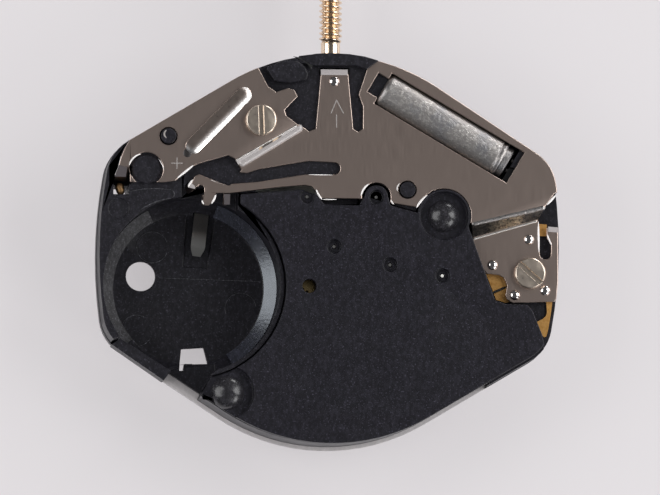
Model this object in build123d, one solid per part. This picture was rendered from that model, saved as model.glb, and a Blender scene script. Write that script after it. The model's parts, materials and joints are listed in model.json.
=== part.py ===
from build123d import *
import math
import os

# A small three-hand quartz watch movement, seen from its battery side (+Z). The origin is the hand axis
# at the face that the dial rests on, the winding stem points along +Y, and every length is in millimetres.

os.makedirs("parts", exist_ok=True)

# Plan of the calibre
calibre_height = 15.35
calibre_width = 18.05
flat_slope = 32.0
side_radius = 18.0
corner_radius = 1.7
outline_turn = -1.4
outline_shift_share = (-0.0188, -0.0185)
half = calibre_height / 2
unit_x_share = 0.425208
unit_x = calibre_width * unit_x_share

# The stack of levels, from the dial upwards
guard_thickness = 0.15
pocket_floor = 0.20
cell_height = 2.6
motion_room = 0.47
web_thickness = 0.23
cover_thickness = 0.45
cover_gap = 0.05
level_gap = 0.02
plate_drop = 0.04
guard_top = guard_thickness
floor_z = guard_top + pocket_floor
cover_top = floor_z + cell_height
ledge_z = cover_top - cover_thickness
web_low = guard_top + motion_room
web_top = web_low + web_thickness
overrun = 1.0

# Battery pocket for a 6.8 x 2.6 cell
cell_diameter = 6.8
pocket_gap = 0.05
pocket_wall = 0.22
pocket_step = 0.50
pocket_lead = 0.10
pocket_share = (-0.722, -0.198)
pocket_r = cell_diameter / 2 + pocket_gap
pocket_floor_r = pocket_r - pocket_step

# Metal circuit plate, with its three levels and two joggles
plate_thickness = 0.16
wing_rise = 0.15
right_drop = 0.45
plate_inset = 0.03
seat_z = cover_top - plate_drop - plate_thickness
wing_z = seat_z + wing_rise
right_z = seat_z - right_drop

# Circuit board and the plastic spacer under the metal plate
board_thickness = 0.10
board_gap = 0.05
board_z = seat_z - board_gap - board_thickness
mid_z = right_z - board_gap - board_thickness

# Main plate walls
wall_inset = 0.02
flange_height = 0.75
flange_top = guard_top + flange_height
rim_show = 0.15
hole_gap = 0.04

# Places on the plan, as shares of unit_x and of the half height
fifth_share = (0.285, -0.091)
rotor_share = (0.552, -0.145)
third_share = (-0.137, 0.253)
minute_share = (0.215, 0.253)
setting_share = (-0.039, 0.487)
sight_hole_share = (-0.126, -0.202)
stake_shares = ((0.560, 0.159), (-0.541, -0.744))
pin_shares = ((-0.844, 0.555), (0.374, 0.291))
screw_shares = ((-0.374, 0.638), (1.002, -0.128))
dial_foot_shares = ((0.899, 0.417), (-0.899, 0.417))

# Wheels and pinions: numbers of teeth
rotor_teeth = 8
fifth_teeth = 40
fifth_pinion_teeth = 10
second_teeth = 60
second_pinion_teeth = 10
third_teeth = 60
third_pinion_teeth = 8
centre_teeth = 80
cannon_teeth = 12
minute_teeth = 36
minute_pinion_teeth = 10
hour_teeth = 40
setting_teeth = 14
clutch_teeth = 12
addendum_share = 0.85
dedendum_share = 1.15
root_width_share = 0.29
tip_width_share = 0.12

# Thickness of wheels, and the arbors that carry them
wheel_thickness = 0.13
pinion_width = 0.24
wheel_gap = 0.06
arbor_r = 0.09
pivot_r = 0.06
pivot_gap = 0.015
pivot_sink = 0.20
sink_r = 0.27
hub_r = 0.30
setting_post_r = 0.14

# Hands' posts under the dial seat
second_post_r = 0.10
second_post_reach = 1.60
cannon_r = 0.35
cannon_bore_r = 0.13
cannon_reach = 1.25
hour_pipe_r = 0.60
hour_bore_r = 0.40
hour_reach = 0.85

# Motor
stator_thickness = 0.33
stator_ring = 0.52
rotor_hole_r = 0.70
magnet_r = 0.50
magnet_height = 0.45
core_width = 0.70
core_thickness = 0.40
coil_r = 0.76
coil_length = 4.9
flange_width = 0.25
coil_share = (0.189, -0.638)
core_pad = 1.05
core_overhang = 0.72
motor_pin_r = 0.22
motor_gap = 0.08
notch_r = 0.30

# Keyless works
stem_z = 1.05
stem_pull = 0.7
clutch_shift = 0.3
thread_r = 0.45
thread_length = 8.6
journal_r = 0.375
journal_gap = 0.03
collar_r = 0.35
groove_r = 0.22
pilot_r = 0.13
square_side = 0.46
square_gap = 0.02
clutch_r = 0.75
clutch_hub_r = 0.58
clutch_groove_r = 0.42
lever_thickness = 0.14

# Crystal
can_r = 0.75
can_length = 5.35
can_seal_length = 0.35
can_gap = 0.06
can_tilt = -30.7
can_share = (0.578, 0.617)
can_z = cover_top - can_r + plate_drop
can_edge = 0.12
lead_r = 0.10
lead_length = 0.45
lead_spread = 0.22

# Screws
screw_head_r = 0.60
screw_head_height = 0.26
screw_shank_r = 0.32
screw_length = 1.5
screw_slot = 0.20
screw_slot_depth = 0.13
screw_turns = (84.0, -42.0)

# Posts that are staked over the cover
stake_r = 0.34
stake_head_radii = (0.54, 0.65)
stake_recess_radii = (0.94, 1.02)
stake_recess = 0.25
stake_rise = 0.16
locating_pin_r = 0.30


def at_share(share):
    """A place on the plan in millimetres."""
    return share[0] * unit_x, share[1] * half


pocket_at = at_share(pocket_share)
fifth_at = at_share(fifth_share)
rotor_at = at_share(rotor_share)
third_at = at_share(third_share)
minute_at = at_share(minute_share)
setting_at = at_share(setting_share)
coil_at = at_share(coil_share)
can_at = at_share(can_share)


def outline(shares, radius=0):
    """A closed outline from points in shares, with its corners rounded."""
    points = [at_share(share) for share in shares]
    face = Polygon(*points, align=None)
    if face.face().normal_at().Z < 0:
        face = Polygon(*reversed(points), align=None)
    return fillet(face.vertices(), radius) if radius else face


def prism(face, low, high):
    """A plan face raised from one level to another."""
    return Pos(0, 0, low) * extrude(face, amount=high - low)


def post(radius, low, high, place=(0, 0)):
    """An upright cylinder between two levels."""
    base = (Align.CENTER, Align.CENTER, Align.MIN)
    return Pos(place[0], place[1], low) * Cylinder(radius, high - low, align=base)


def disc(radius, place=(0, 0)):
    return Pos(*place) * Circle(radius)


def along_y(radius, start, end):
    """A cylinder on the stem's axis."""
    base = (Align.CENTER, Align.CENTER, Align.MIN)
    return Pos(0, start, stem_z) * Rot(-90, 0, 0) * Cylinder(radius, end - start, align=base)


def calibre_face(inset=0):
    """The movement's plan: arcs above and below, four tangent flats and two wide side arcs."""
    radius = half - inset
    side_x = calibre_width / 2 - inset
    slope = math.radians(flat_slope)
    normal = Vector(math.sin(slope), math.cos(slope))
    touch = normal * radius
    reach = radius - normal.X * (side_x - side_radius)
    along = math.sqrt(side_radius ** 2 - reach ** 2)
    corner = Vector(side_x - side_radius, 0) + normal * reach + Vector(normal.Y, -normal.X) * along
    edges = []
    for side in (-1, 1):
        flat_start = (side * touch.X, side * touch.Y)
        flat_end = (side * corner.X, side * corner.Y)
        edges.append(ThreePointArc((-side * touch.X, side * touch.Y), (0, side * radius), flat_start))
        edges.append(Line(flat_start, flat_end))
        edges.append(ThreePointArc(flat_end, (side * side_x, 0), (side * corner.X, -side * corner.Y)))
        edges.append(Line((side * corner.X, -side * corner.Y), (side * touch.X, -side * touch.Y)))
    face = make_face(edges)
    tips = [v for v in face.vertices() if abs(v.X) > touch.X + corner_radius]
    return Pos(*at_share(outline_shift_share)) * Rot(0, 0, outline_turn) * fillet(tips, corner_radius)


def pocket_face(radius):
    return disc(radius, pocket_at)


# Gears

def spread(teeth_a, teeth_b, place_a, place_b):
    """The module of a pair from its centre distance."""
    return 2 * math.dist(place_a, place_b) / (teeth_a + teeth_b)


def bearing(place_a, place_b):
    """The direction in degrees from one place to another."""
    return math.degrees(math.atan2(place_b[1] - place_a[1], place_b[0] - place_a[0]))


def mated_phase(teeth_a, phase_a, teeth_b, direction):
    """The phase at which wheel b's teeth fall between those of wheel a."""
    return direction + 180 + 180 / teeth_b - (phase_a - direction) * teeth_a / teeth_b


def toothed_face(teeth, module, phase):
    """A wheel's plan with straight-flanked teeth, one of them centred on the phase."""
    root_r = teeth * module / 2 - dedendum_share * module
    tip_r = teeth * module / 2 + addendum_share * module
    step = 360 / teeth
    flanks = ((root_r, -root_width_share), (tip_r, -tip_width_share))
    flanks += ((tip_r, tip_width_share), (root_r, root_width_share))
    points = []
    for tooth in range(teeth):
        for radius, offset in flanks:
            angle = math.radians(phase + (tooth + offset) * step)
            points.append((radius * math.cos(angle), radius * math.sin(angle)))
    return Polygon(*points, align=None)


def gear(teeth, module, phase, place, low, high, bore_r):
    """A wheel or pinion between two levels, bored for what carries it."""
    face = toothed_face(teeth, module, phase) - Circle(bore_r)
    return Pos(*place) * prism(face, low, high)


def lightened(wheel, place, radius, hole_r, count, turn, low, high):
    """A wheel with a ring of round holes."""
    for step in range(count):
        angle = math.radians(turn + 360 * step / count)
        spot = (place[0] + radius * math.cos(angle), place[1] + radius * math.sin(angle))
        wheel -= post(hole_r, low - overrun, high + overrun, spot)
    return wheel


rotor_module = spread(rotor_teeth, fifth_teeth, rotor_at, fifth_at)
fifth_module = spread(fifth_pinion_teeth, second_teeth, fifth_at, (0, 0))
second_module = spread(second_pinion_teeth, third_teeth, (0, 0), third_at)
third_module = spread(third_pinion_teeth, centre_teeth, third_at, (0, 0))
cannon_module = spread(cannon_teeth, minute_teeth, (0, 0), minute_at)
hour_module = spread(minute_pinion_teeth, hour_teeth, minute_at, (0, 0))

rotor_phase = bearing(rotor_at, fifth_at)
fifth_phase = mated_phase(rotor_teeth, rotor_phase, fifth_teeth, rotor_phase)
fifth_pinion_phase = bearing(fifth_at, (0, 0))
second_phase = mated_phase(fifth_pinion_teeth, fifth_pinion_phase, second_teeth, fifth_pinion_phase)
second_pinion_phase = bearing((0, 0), third_at)
third_phase = mated_phase(second_pinion_teeth, second_pinion_phase, third_teeth, second_pinion_phase)
third_pinion_phase = bearing(third_at, (0, 0))
centre_phase = mated_phase(third_pinion_teeth, third_pinion_phase, centre_teeth, third_pinion_phase)
cannon_phase = bearing((0, 0), minute_at)
minute_phase = mated_phase(cannon_teeth, cannon_phase, minute_teeth, cannon_phase)
minute_pinion_phase = bearing(minute_at, (0, 0))
hour_phase = mated_phase(minute_pinion_teeth, minute_pinion_phase, hour_teeth, minute_pinion_phase)
setting_phase = mated_phase(minute_teeth, minute_phase, setting_teeth, bearing(minute_at, setting_at))

# Levels of the wheels
centre_low = web_top + wheel_gap
centre_high = centre_low + wheel_thickness
third_low = centre_high + wheel_gap + pinion_width / 2
third_high = third_low + wheel_thickness
second_low = third_high + wheel_gap + pinion_width / 2
second_high = second_low + wheel_thickness
fifth_low = second_high + wheel_gap + pinion_width / 2
fifth_high = fifth_low + wheel_thickness
hour_low = guard_top + 2 * level_gap
hour_high = hour_low + wheel_thickness
minute_low = hour_high + 2 * level_gap
minute_high = minute_low + wheel_thickness
pivot_top = cover_top - pivot_sink + level_gap
pivot_foot = web_low + wheel_gap


def tip_radius(teeth, module):
    return teeth * module / 2 + addendum_share * module


def arbor(place, low_pivot, shoulder_low, shoulder_high, high_pivot):
    """A staff with a pivot at each end."""
    staff = post(arbor_r, shoulder_low, shoulder_high, place)
    staff += post(pivot_r, low_pivot, shoulder_low, place)
    return staff + post(pivot_r, shoulder_high, high_pivot, place)


def train_wheel(teeth, module, phase, place, low, pinion_teeth, pinion_module, pinion_phase, pinion_low):
    """A moulded wheel with its pinion below it, both bored for one arbor."""
    wheel = gear(teeth, module, phase, place, low, low + wheel_thickness, arbor_r)
    pinion = gear(pinion_teeth, pinion_module, pinion_phase, place, pinion_low, low, arbor_r)
    return wheel + pinion


def fifth_wheel():
    low = second_low - wheel_gap
    return train_wheel(fifth_teeth, rotor_module, fifth_phase, fifth_at, fifth_low,
                       fifth_pinion_teeth, fifth_module, fifth_pinion_phase, low)


def fifth_arbor():
    return arbor(fifth_at, pivot_foot, web_top + level_gap, ledge_z - level_gap, pivot_top)


def third_wheel():
    low = centre_low - wheel_gap / 2
    return train_wheel(third_teeth, second_module, third_phase, third_at, third_low,
                       third_pinion_teeth, third_module, third_pinion_phase, low)


def third_arbor():
    return arbor(third_at, pivot_foot, web_top + level_gap, ledge_z - level_gap, pivot_top)


def second_wheel():
    """The brass seconds wheel, with four windows between its spokes."""
    wheel = gear(second_teeth, fifth_module, second_phase, (0, 0), second_low, second_high, arbor_r)
    radius = second_teeth * fifth_module / 2
    window_r = (radius - hub_r) * 0.27
    middle = (radius + hub_r) * 0.5
    return lightened(wheel, (0, 0), middle, window_r, 5, 36, second_low, second_high)


def second_arbor():
    """The seconds arbor with its pinion; its long post carries the seconds hand."""
    staff = post(arbor_r, centre_high, ledge_z - level_gap)
    staff += post(pivot_r, ledge_z - level_gap, pivot_top)
    staff += post(second_post_r, -second_post_reach, centre_high)
    low = third_low - wheel_gap
    leaves = toothed_face(second_pinion_teeth, second_module, second_pinion_phase)
    return staff + prism(leaves, low, second_low)


def centre_wheel():
    """The minute wheel of the train, with a collar that grips the cannon pinion."""
    wheel = gear(centre_teeth, third_module, centre_phase, (0, 0), centre_low, centre_high, cannon_r - hole_gap)
    return lightened(wheel, (0, 0), centre_teeth * third_module * 0.32, hub_r, 4, 20, centre_low, centre_high)


def cannon_pinion():
    """The minute hand's tube: leaves on the dial side and a seat for the centre wheel."""
    tube = post(cannon_r, -cannon_reach, web_top + level_gap)
    tube += post(cannon_r - hole_gap, web_top + level_gap, centre_high)
    leaves = toothed_face(cannon_teeth, cannon_module, cannon_phase)
    tube += prism(leaves, minute_low - level_gap, web_low - level_gap)
    return tube - post(cannon_bore_r, -cannon_reach - overrun, centre_high + overrun)


def minute_wheel():
    """The motion work's minute wheel and pinion; its arbor reaches up to the train cover."""
    low = guard_top + level_gap
    wheel = gear(minute_teeth, cannon_module, minute_phase, minute_at, minute_low, minute_high, arbor_r)
    return wheel + gear(minute_pinion_teeth, hour_module, minute_pinion_phase, minute_at, low, minute_low, arbor_r)


def minute_arbor():
    return arbor(minute_at, level_gap, guard_top + level_gap, ledge_z - level_gap, pivot_top)


def hour_wheel():
    """The hour wheel, whose pipe stands through the guard and carries the hour hand."""
    face = toothed_face(hour_teeth, hour_module, hour_phase)
    wheel = prism(face, hour_low, hour_high) + post(hour_pipe_r, -hour_reach, hour_high)
    return wheel - post(hour_bore_r, -hour_reach - overrun, hour_high + overrun)


def setting_wheel():
    bore_r = setting_post_r + level_gap
    return gear(setting_teeth, cannon_module, setting_phase, setting_at, minute_low, minute_high, bore_r)


def setting_post():
    """The fixed post that the setting wheel turns on."""
    return post(setting_post_r, guard_top, web_low, setting_at)


# Motor

motor_low = web_top + 0.5 * (ledge_z - web_top) - coil_r
coil_z = motor_low + coil_r
core_low = coil_z - core_thickness / 2
stator_low = core_low - stator_thickness
coil_left = coil_at[0] - coil_length / 2
coil_right = coil_at[0] + coil_length / 2
pad_places = ((coil_left - core_overhang, coil_at[1]), (coil_right + core_overhang, coil_at[1]))


def bar(start, end, width):
    """A straight strip with round ends, seen from above."""
    length = math.dist(start, end)
    middle = ((start[0] + end[0]) / 2, (start[1] + end[1]) / 2)
    return Pos(*middle) * Rot(0, 0, bearing(start, end)) * SlotOverall(length + width, width)


def stator_face(grow=0):
    """The stator's plan: a ring round the rotor with a leg to each end of the coil core."""
    ring_r = rotor_hole_r + stator_ring
    width = core_pad + 2 * grow
    leg_y = coil_at[1] + coil_r + core_pad / 2 + motor_gap
    left_start = (rotor_at[0] - stator_ring, rotor_at[1] - stator_ring)
    right_start = (rotor_at[0] + stator_ring, rotor_at[1] - stator_ring)
    knee = (rotor_at[0] - ring_r, leg_y)
    far_knee = (pad_places[0][0], leg_y)
    face = disc(ring_r + grow, rotor_at)
    for start, end in ((left_start, knee), (knee, far_knee), (far_knee, pad_places[0])):
        face += bar(start, end, width)
    return face + bar(right_start, pad_places[1], width)


def stator():
    """The soft iron stator, narrowed by a notch on each side of the rotor."""
    face = stator_face() - disc(rotor_hole_r, rotor_at)
    reach = rotor_hole_r + stator_ring + notch_r / 3
    for side in (-1, 1):
        face -= disc(notch_r, (rotor_at[0], rotor_at[1] + side * reach))
    for place in pad_places:
        face -= disc(motor_pin_r + hole_gap, place)
    return prism(face, stator_low, stator_low + stator_thickness)


def coil_core():
    """The laminated core: a flat bar with a pad at each end on the stator."""
    face = bar(pad_places[0], pad_places[1], core_width)
    for place in pad_places:
        face += disc(core_pad / 2, place)
        face -= disc(motor_pin_r + hole_gap, place)
    return prism(face, core_low, core_low + core_thickness)


def across_coil(face, start, length):
    """A face drawn across the coil's axis, extruded along it."""
    return Plane((start, coil_at[1], coil_z), x_dir=(0, 1, 0), z_dir=(1, 0, 0)) * extrude(face, amount=length)


def coil_sleeve():
    return Rectangle(core_width, core_thickness)


def coil_flanges():
    """The two insulating end cheeks of the coil."""
    cheek = RectangleRounded(2 * coil_r, 2 * coil_r, coil_r / 3) - coil_sleeve()
    left = across_coil(cheek, coil_left, flange_width)
    return [left, across_coil(cheek, coil_right - flange_width, flange_width)]


def coil_winding():
    """The fine wire of the coil as one closed body between its cheeks."""
    ring = Circle(coil_r - level_gap) - coil_sleeve()
    return across_coil(ring, coil_left + flange_width, coil_length - 2 * flange_width)


def rotor_magnet():
    """The rotor's two-pole magnet disc."""
    middle = stator_low + stator_thickness / 2
    low = middle - magnet_height / 2
    return post(magnet_r, low, low + magnet_height, rotor_at) - post(hub_r, low - overrun, cover_top, rotor_at)


def rotor_pinion():
    """The rotor's moulded hub and leaves on its steel pivots."""
    low = fifth_low - wheel_gap
    middle = stator_low + stator_thickness / 2
    leaves = Pos(*rotor_at) * toothed_face(rotor_teeth, rotor_module, rotor_phase)
    staff = arbor(rotor_at, pivot_foot, web_top + level_gap, ledge_z - level_gap, pivot_top)
    staff += post(hub_r, middle - magnet_height / 2, low, rotor_at)
    return staff + prism(leaves, low, fifth_high + wheel_gap)


# Places along the stem

stem_block_share = 0.925
groove_share = 0.795
clutch_share = 0.645
wall_face_share = 0.563
pilot_share = 0.417
stem_block_y = stem_block_share * half
groove_y = groove_share * half
clutch_y = clutch_share * half
wall_face_y = wall_face_share * half
pilot_y = pilot_share * half
groove_width = 0.30
clutch_length = 0.70
clutch_tooth = 0.12
clutch_tooth_share = 0.55
clutch_groove = 0.20
lever_pin_r = 0.11
lever_pivot_share = (-0.235, 0.808)
lever_pivot = at_share(lever_pivot_share)
lever_low = stem_z + collar_r + 4 * hole_gap
yoke_low = stem_z - lever_thickness / 2
yoke_post_share = (0.241, 0.632)
yoke_post = at_share(yoke_post_share)
reset_tip_share = (0.124, 0.780)
reset_tail_share = (0.278, 0.594)
reset_low = mid_z - hole_gap - lever_thickness
lever_post_r = 0.16


def square_bar(side, start, end):
    """A square section on the stem's axis."""
    return Pos(0, (start + end) / 2, stem_z) * Box(side, end - start, side)


def winding_stem():
    """The stem: pilot, square, collar, groove, journal and the threaded end for the crown."""
    thread_start = half + journal_r
    collar_start = clutch_y + clutch_length + square_gap
    stem = along_y(pilot_r, pilot_y, wall_face_y)
    stem += square_bar(square_side, wall_face_y, collar_start)
    stem += along_y(collar_r, collar_start, groove_y - groove_width / 2)
    stem += along_y(groove_r, groove_y - groove_width / 2, groove_y + groove_width / 2)
    stem += along_y(collar_r, groove_y + groove_width / 2, stem_block_y)
    stem += along_y(journal_r, stem_block_y, thread_start)
    thread = along_y(thread_r, thread_start, thread_start + thread_length)
    tip = thread.edges().filter_by(GeomType.CIRCLE).sort_by(Axis.Y)[-1]
    return stem + chamfer(tip, thread_r / 4)


def clutch_wheel():
    """The sliding pinion: face teeth towards the setting wheel and a groove for the yoke."""
    face_end = clutch_y + clutch_tooth
    groove_start = clutch_y + clutch_length / 2
    groove_end = groove_start + clutch_groove
    wheel = along_y(clutch_groove_r, clutch_y, clutch_y + clutch_length)
    wheel += along_y(clutch_r, face_end, groove_start)
    wheel += along_y(clutch_hub_r, groove_end, clutch_y + clutch_length)
    tooth_width = 2 * math.pi * clutch_groove_r / clutch_teeth * clutch_tooth_share
    tooth_reach = clutch_r - level_gap - clutch_groove_r * math.cos(math.pi / clutch_teeth)
    tooth_middle = clutch_r - level_gap - tooth_reach / 2
    tooth = Pos(tooth_middle, clutch_y + clutch_tooth / 2, 0) * Box(tooth_reach, clutch_tooth, tooth_width)
    for step in range(clutch_teeth):
        wheel += Pos(0, 0, stem_z) * Rot(0, 360 * step / clutch_teeth, 0) * tooth
    bore = square_side + 2 * square_gap
    return wheel - square_bar(bore, clutch_y - overrun, clutch_y + clutch_length + overrun)


def setting_lever():
    """The lever whose pin rides in the stem's groove."""
    pin_at = (0, groove_y)
    face = bar(lever_pivot, pin_at, 2 * lever_post_r) + disc(2 * lever_post_r, lever_pivot)
    tail_end = (lever_pivot[0] + lever_post_r, clutch_y + clutch_length)
    face += bar(lever_pivot, tail_end, 2 * lever_pin_r)
    face -= disc(lever_post_r + level_gap, lever_pivot)
    lever = prism(face, lever_low, lever_low + lever_thickness)
    return lever + post(lever_pin_r, stem_z + groove_r + level_gap, lever_low, pin_at)


def yoke():
    """The yoke, whose finger lies in the clutch's groove; its slot lets it shift on a fixed post."""
    finger_y = clutch_y + clutch_length / 2 + clutch_groove / 2
    finger_width = clutch_groove - 2 * square_gap
    tip = (clutch_groove_r + finger_width / 2 + level_gap, finger_y)
    knee = (clutch_r + 2 * lever_post_r, finger_y)
    slot_end = (yoke_post[0], yoke_post[1] + clutch_shift)
    face = bar(tip, knee, finger_width)
    face += bar(knee, slot_end, 2 * lever_post_r)
    face += bar(yoke_post, slot_end, 4 * lever_post_r)
    face -= bar(yoke_post, slot_end, 2 * (lever_post_r + level_gap))
    return prism(face, yoke_low, yoke_low + lever_thickness)


def reset_lever():
    """The lever on the yoke's post that tells the circuit that the stem is pulled."""
    face = disc(2 * lever_post_r, yoke_post)
    for share in (reset_tip_share, reset_tail_share):
        face += bar(yoke_post, at_share(share), 2 * lever_post_r)
    face -= disc(lever_post_r + level_gap, yoke_post)
    return prism(face, reset_low, reset_low + lever_thickness)


# Cover over the train

cover_shares = (
    (-0.478, 0.263), (-0.165, 0.289), (-0.086, 0.262), (-0.052, 0.216), (0.128, 0.215), (0.155, 0.258),
    (0.275, 0.258), (0.286, 0.212), (0.430, 0.172), (0.669, 0.147), (0.821, -0.270), (0.877, -0.289),
    (0.985, -0.292), (1.010, -0.321), (1.060, -0.444), (1.084, -0.560), (0.700, -1.050), (-0.420, -1.050),
    (-0.715, -0.808), (-0.600, -0.627), (-0.478, -0.198),
)
cover_inset = 0.19
cover_shift_share = (0.0065, -0.0065)
cover_fillet = 0.10
boss_r = 0.46


def cover_zone():
    """The cover's plan before it is cut at the edge of the movement and at the pocket."""
    zone = outline(cover_shares, cover_fillet) + disc(boss_r, minute_at)
    return zone + disc(stake_recess_radii[0] + cover_fillet, at_share(stake_shares[0]))


def cover_face():
    """The train cover's plan, cut round the battery pocket."""
    edge = Pos(*at_share(cover_shift_share)) * calibre_face(cover_inset)
    face = (cover_zone() & edge) - pocket_face(pocket_r + pocket_wall)
    return face.faces().sort_by(SortBy.AREA)[-1]


def train_cover():
    """The black moulded cover that holds the upper pivots of the train."""
    cover = prism(cover_face(), ledge_z, cover_top)
    for place in ((0, 0), fifth_at, rotor_at, third_at, minute_at):
        cover -= post(sink_r, cover_top - pivot_sink, cover_top + overrun, place)
        cover -= post(pivot_r + pivot_gap, ledge_z - overrun, cover_top, place)
    cover -= post(sink_r, ledge_z - overrun, cover_top + overrun, at_share(sight_hole_share))
    for share, recess_r in zip(stake_shares, stake_recess_radii):
        place = at_share(share)
        cover -= post(recess_r, cover_top - stake_recess, cover_top + overrun, place)
        cover -= post(stake_r + hole_gap, ledge_z - overrun, cover_top, place)
    return cover


# Metal circuit plate

wing_shares = (
    (-0.404, 0.938), (-1.150, 0.938), (-1.150, 0.600), (-1.042, 0.534), (-1.068, 0.489), (-1.087, 0.443),
    (-1.098, 0.397), (-1.040, 0.397), (-1.040, 0.320), (-0.866, 0.320), (-0.808, 0.328), (-0.727, 0.399),
    (-0.694, 0.414), (-0.541, 0.459), (-0.508, 0.443), (-0.195, 0.625), (-0.244, 0.662), (-0.253, 0.691),
    (-0.224, 0.723), (-0.186, 0.761), (-0.205, 0.796), (-0.237, 0.804), (-0.297, 0.783), (-0.337, 0.812),
)
centre_shares = (
    (-0.472, 0.388), (-0.150, 0.602), (-0.128, 0.586), (-0.094, 0.600), (-0.068, 0.880), (0.072, 0.880),
    (0.098, 0.600), (0.121, 0.585), (0.146, 0.600), (0.147, 0.717), (0.125, 0.774), (0.171, 0.916),
    (0.195, 0.990), (1.200, 0.990), (1.200, 0.330), (1.122, 0.275), (1.080, 0.216), (0.702, 0.120),
    (0.423, 0.202), (0.306, 0.221), (0.121, 0.244), (-0.064, 0.246), (-0.090, 0.280), (-0.115, 0.305),
    (-0.151, 0.311), (-0.274, 0.301), (-0.530, 0.268), (-0.670, 0.268), (-0.726, 0.319), (-0.711, 0.352),
    (-0.687, 0.364), (-0.585, 0.323), (-0.533, 0.305),
)
arm_slot_shares = (
    (-0.560, 0.313), (-0.391, 0.326), (-0.147, 0.366), (0.000, 0.366), (0.000, 0.428), (-0.130, 0.434),
    (-0.387, 0.390), (-0.443, 0.370), (-0.560, 0.380),
)
right_shares = (
    (0.710, 0.046), (1.042, 0.143), (1.048, 0.139), (1.053, -0.026), (1.111, -0.026), (1.111, 0.030),
    (1.093, 0.045), (1.088, 0.066), (1.088, 0.108), (1.147, 0.110), (1.147, -0.245), (1.130, -0.270), (0.915, -0.279),
    (0.886, -0.261), (0.877, -0.242), (0.886, -0.190), (0.870, -0.152), (0.846, -0.137), (0.782, -0.130),
    (0.760, -0.104), (0.743, -0.065), (0.724, -0.005),
)
arch_share = (-0.955, 0.388)
arch_r = 0.64
arm_slot_end_share = (0.000, 0.397)
arm_slot_r = 0.235
right_slot_share = (1.082, -0.026)
right_slot_r = 0.22
wing_joggle_shares = ((-0.508, 0.443), (-0.195, 0.625), (-0.150, 0.602), (-0.472, 0.388))
right_joggle_shares = ((0.702, 0.120), (1.080, 0.216), (1.042, 0.143), (0.710, 0.046))
stake_notch_r = 1.06
boss_notch_r = 0.56
rib_shares = ((-0.741, 0.475), (-0.431, 0.790))
rib_r = 0.20
can_window_gap = 0.05
hook_shares = ((-1.098, 0.397), (-1.042, 0.397), (-1.055, 0.330), (-1.120, 0.335))
hook_drop = 0.75
tongue_end_shares = ((-0.068, 0.880), (0.072, 0.880), (0.072, 0.905), (-0.068, 0.905))
tongue_drop = 0.28
finger_shares = (
    ((-0.675, 0.275), (-0.610, 0.275), (-0.630, 0.214), (-0.666, 0.216)),
    ((-0.562, 0.275), (-0.535, 0.275), (-0.535, 0.216), (-0.560, 0.216)),
    ((-0.722, 0.335), (-0.700, 0.290), (-0.738, 0.270), (-0.752, 0.305)),
)
finger_drop = 0.80


def sloped_strip(shares, high, low, thickness):
    """A bent strip of sheet between an edge at one level and an edge at another."""
    first, second, third, fourth = [at_share(share) for share in shares]

    def edge_face(start, end, level):
        rise = level + thickness
        corners = [(*start, level), (*end, level), (*end, rise), (*start, rise)]
        return make_face(Polyline(*corners, close=True))

    return loft([edge_face(first, second, high), edge_face(fourth, third, low)], ruled=True)


def can_plan(grow):
    """The crystal can seen from above, grown all round."""
    length = can_length + can_seal_length + 2 * grow
    return Pos(*can_at) * Rot(0, 0, can_tilt) * Rectangle(length, 2 * (can_r + grow))


def battery_plus_plate():
    """The stamped plate: wing, centre with its spring arm and tongue, and the lower right part."""
    edge = calibre_face(plate_inset)
    wing = outline(wing_shares) & edge
    wing -= disc(arch_r, at_share(arch_share))
    centre = outline(centre_shares) & edge
    centre -= outline(arm_slot_shares) + disc(arm_slot_r, at_share(arm_slot_end_share))
    centre -= disc(stake_notch_r, at_share(stake_shares[0])) + disc(boss_notch_r, minute_at)
    centre -= can_plan(can_window_gap + can_gap)
    right = outline(right_shares) & edge
    right -= disc(right_slot_r, at_share(right_slot_share))
    plate = prism(wing, wing_z, wing_z + plate_thickness)
    plate += prism(centre, seat_z, seat_z + plate_thickness)
    plate += prism(right, right_z, right_z + plate_thickness)
    plate += sloped_strip(wing_joggle_shares, wing_z, seat_z, plate_thickness)
    plate += sloped_strip(right_joggle_shares, seat_z, right_z, plate_thickness)
    plate += sloped_strip(hook_shares, wing_z, wing_z - hook_drop, plate_thickness)
    plate += sloped_strip(tongue_end_shares, seat_z, seat_z - tongue_drop, plate_thickness)
    for shares in finger_shares:
        plate += sloped_strip(shares, seat_z, seat_z - finger_drop, plate_thickness)
    for share in pin_shares:
        plate -= post(locating_pin_r + hole_gap, web_top, cover_top + overrun, at_share(share))
    for share in screw_shares:
        plate -= post(screw_shank_r + hole_gap, web_top, cover_top + overrun, at_share(share))
    return plate


def plate_screws():
    """The two slotted screws that hold the plate, each on its own level."""
    screws = []
    for share, level, turn in zip(screw_shares, (wing_z, right_z), screw_turns):
        seat = level + plate_thickness
        place = at_share(share)
        head_top = seat + screw_head_height
        screw = post(screw_head_r, seat, head_top, place)
        screw = chamfer(screw.edges().sort_by(Axis.Z)[-1], screw_head_height / 6)
        screw += post(screw_shank_r, seat - screw_length, seat, place)
        cutter = Box(4 * screw_head_r, screw_slot, 2 * screw_slot_depth)
        screws.append(screw - Pos(*place, head_top) * Rot(0, 0, turn) * cutter)
    return screws


# Plastic spacer under the plate

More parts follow.
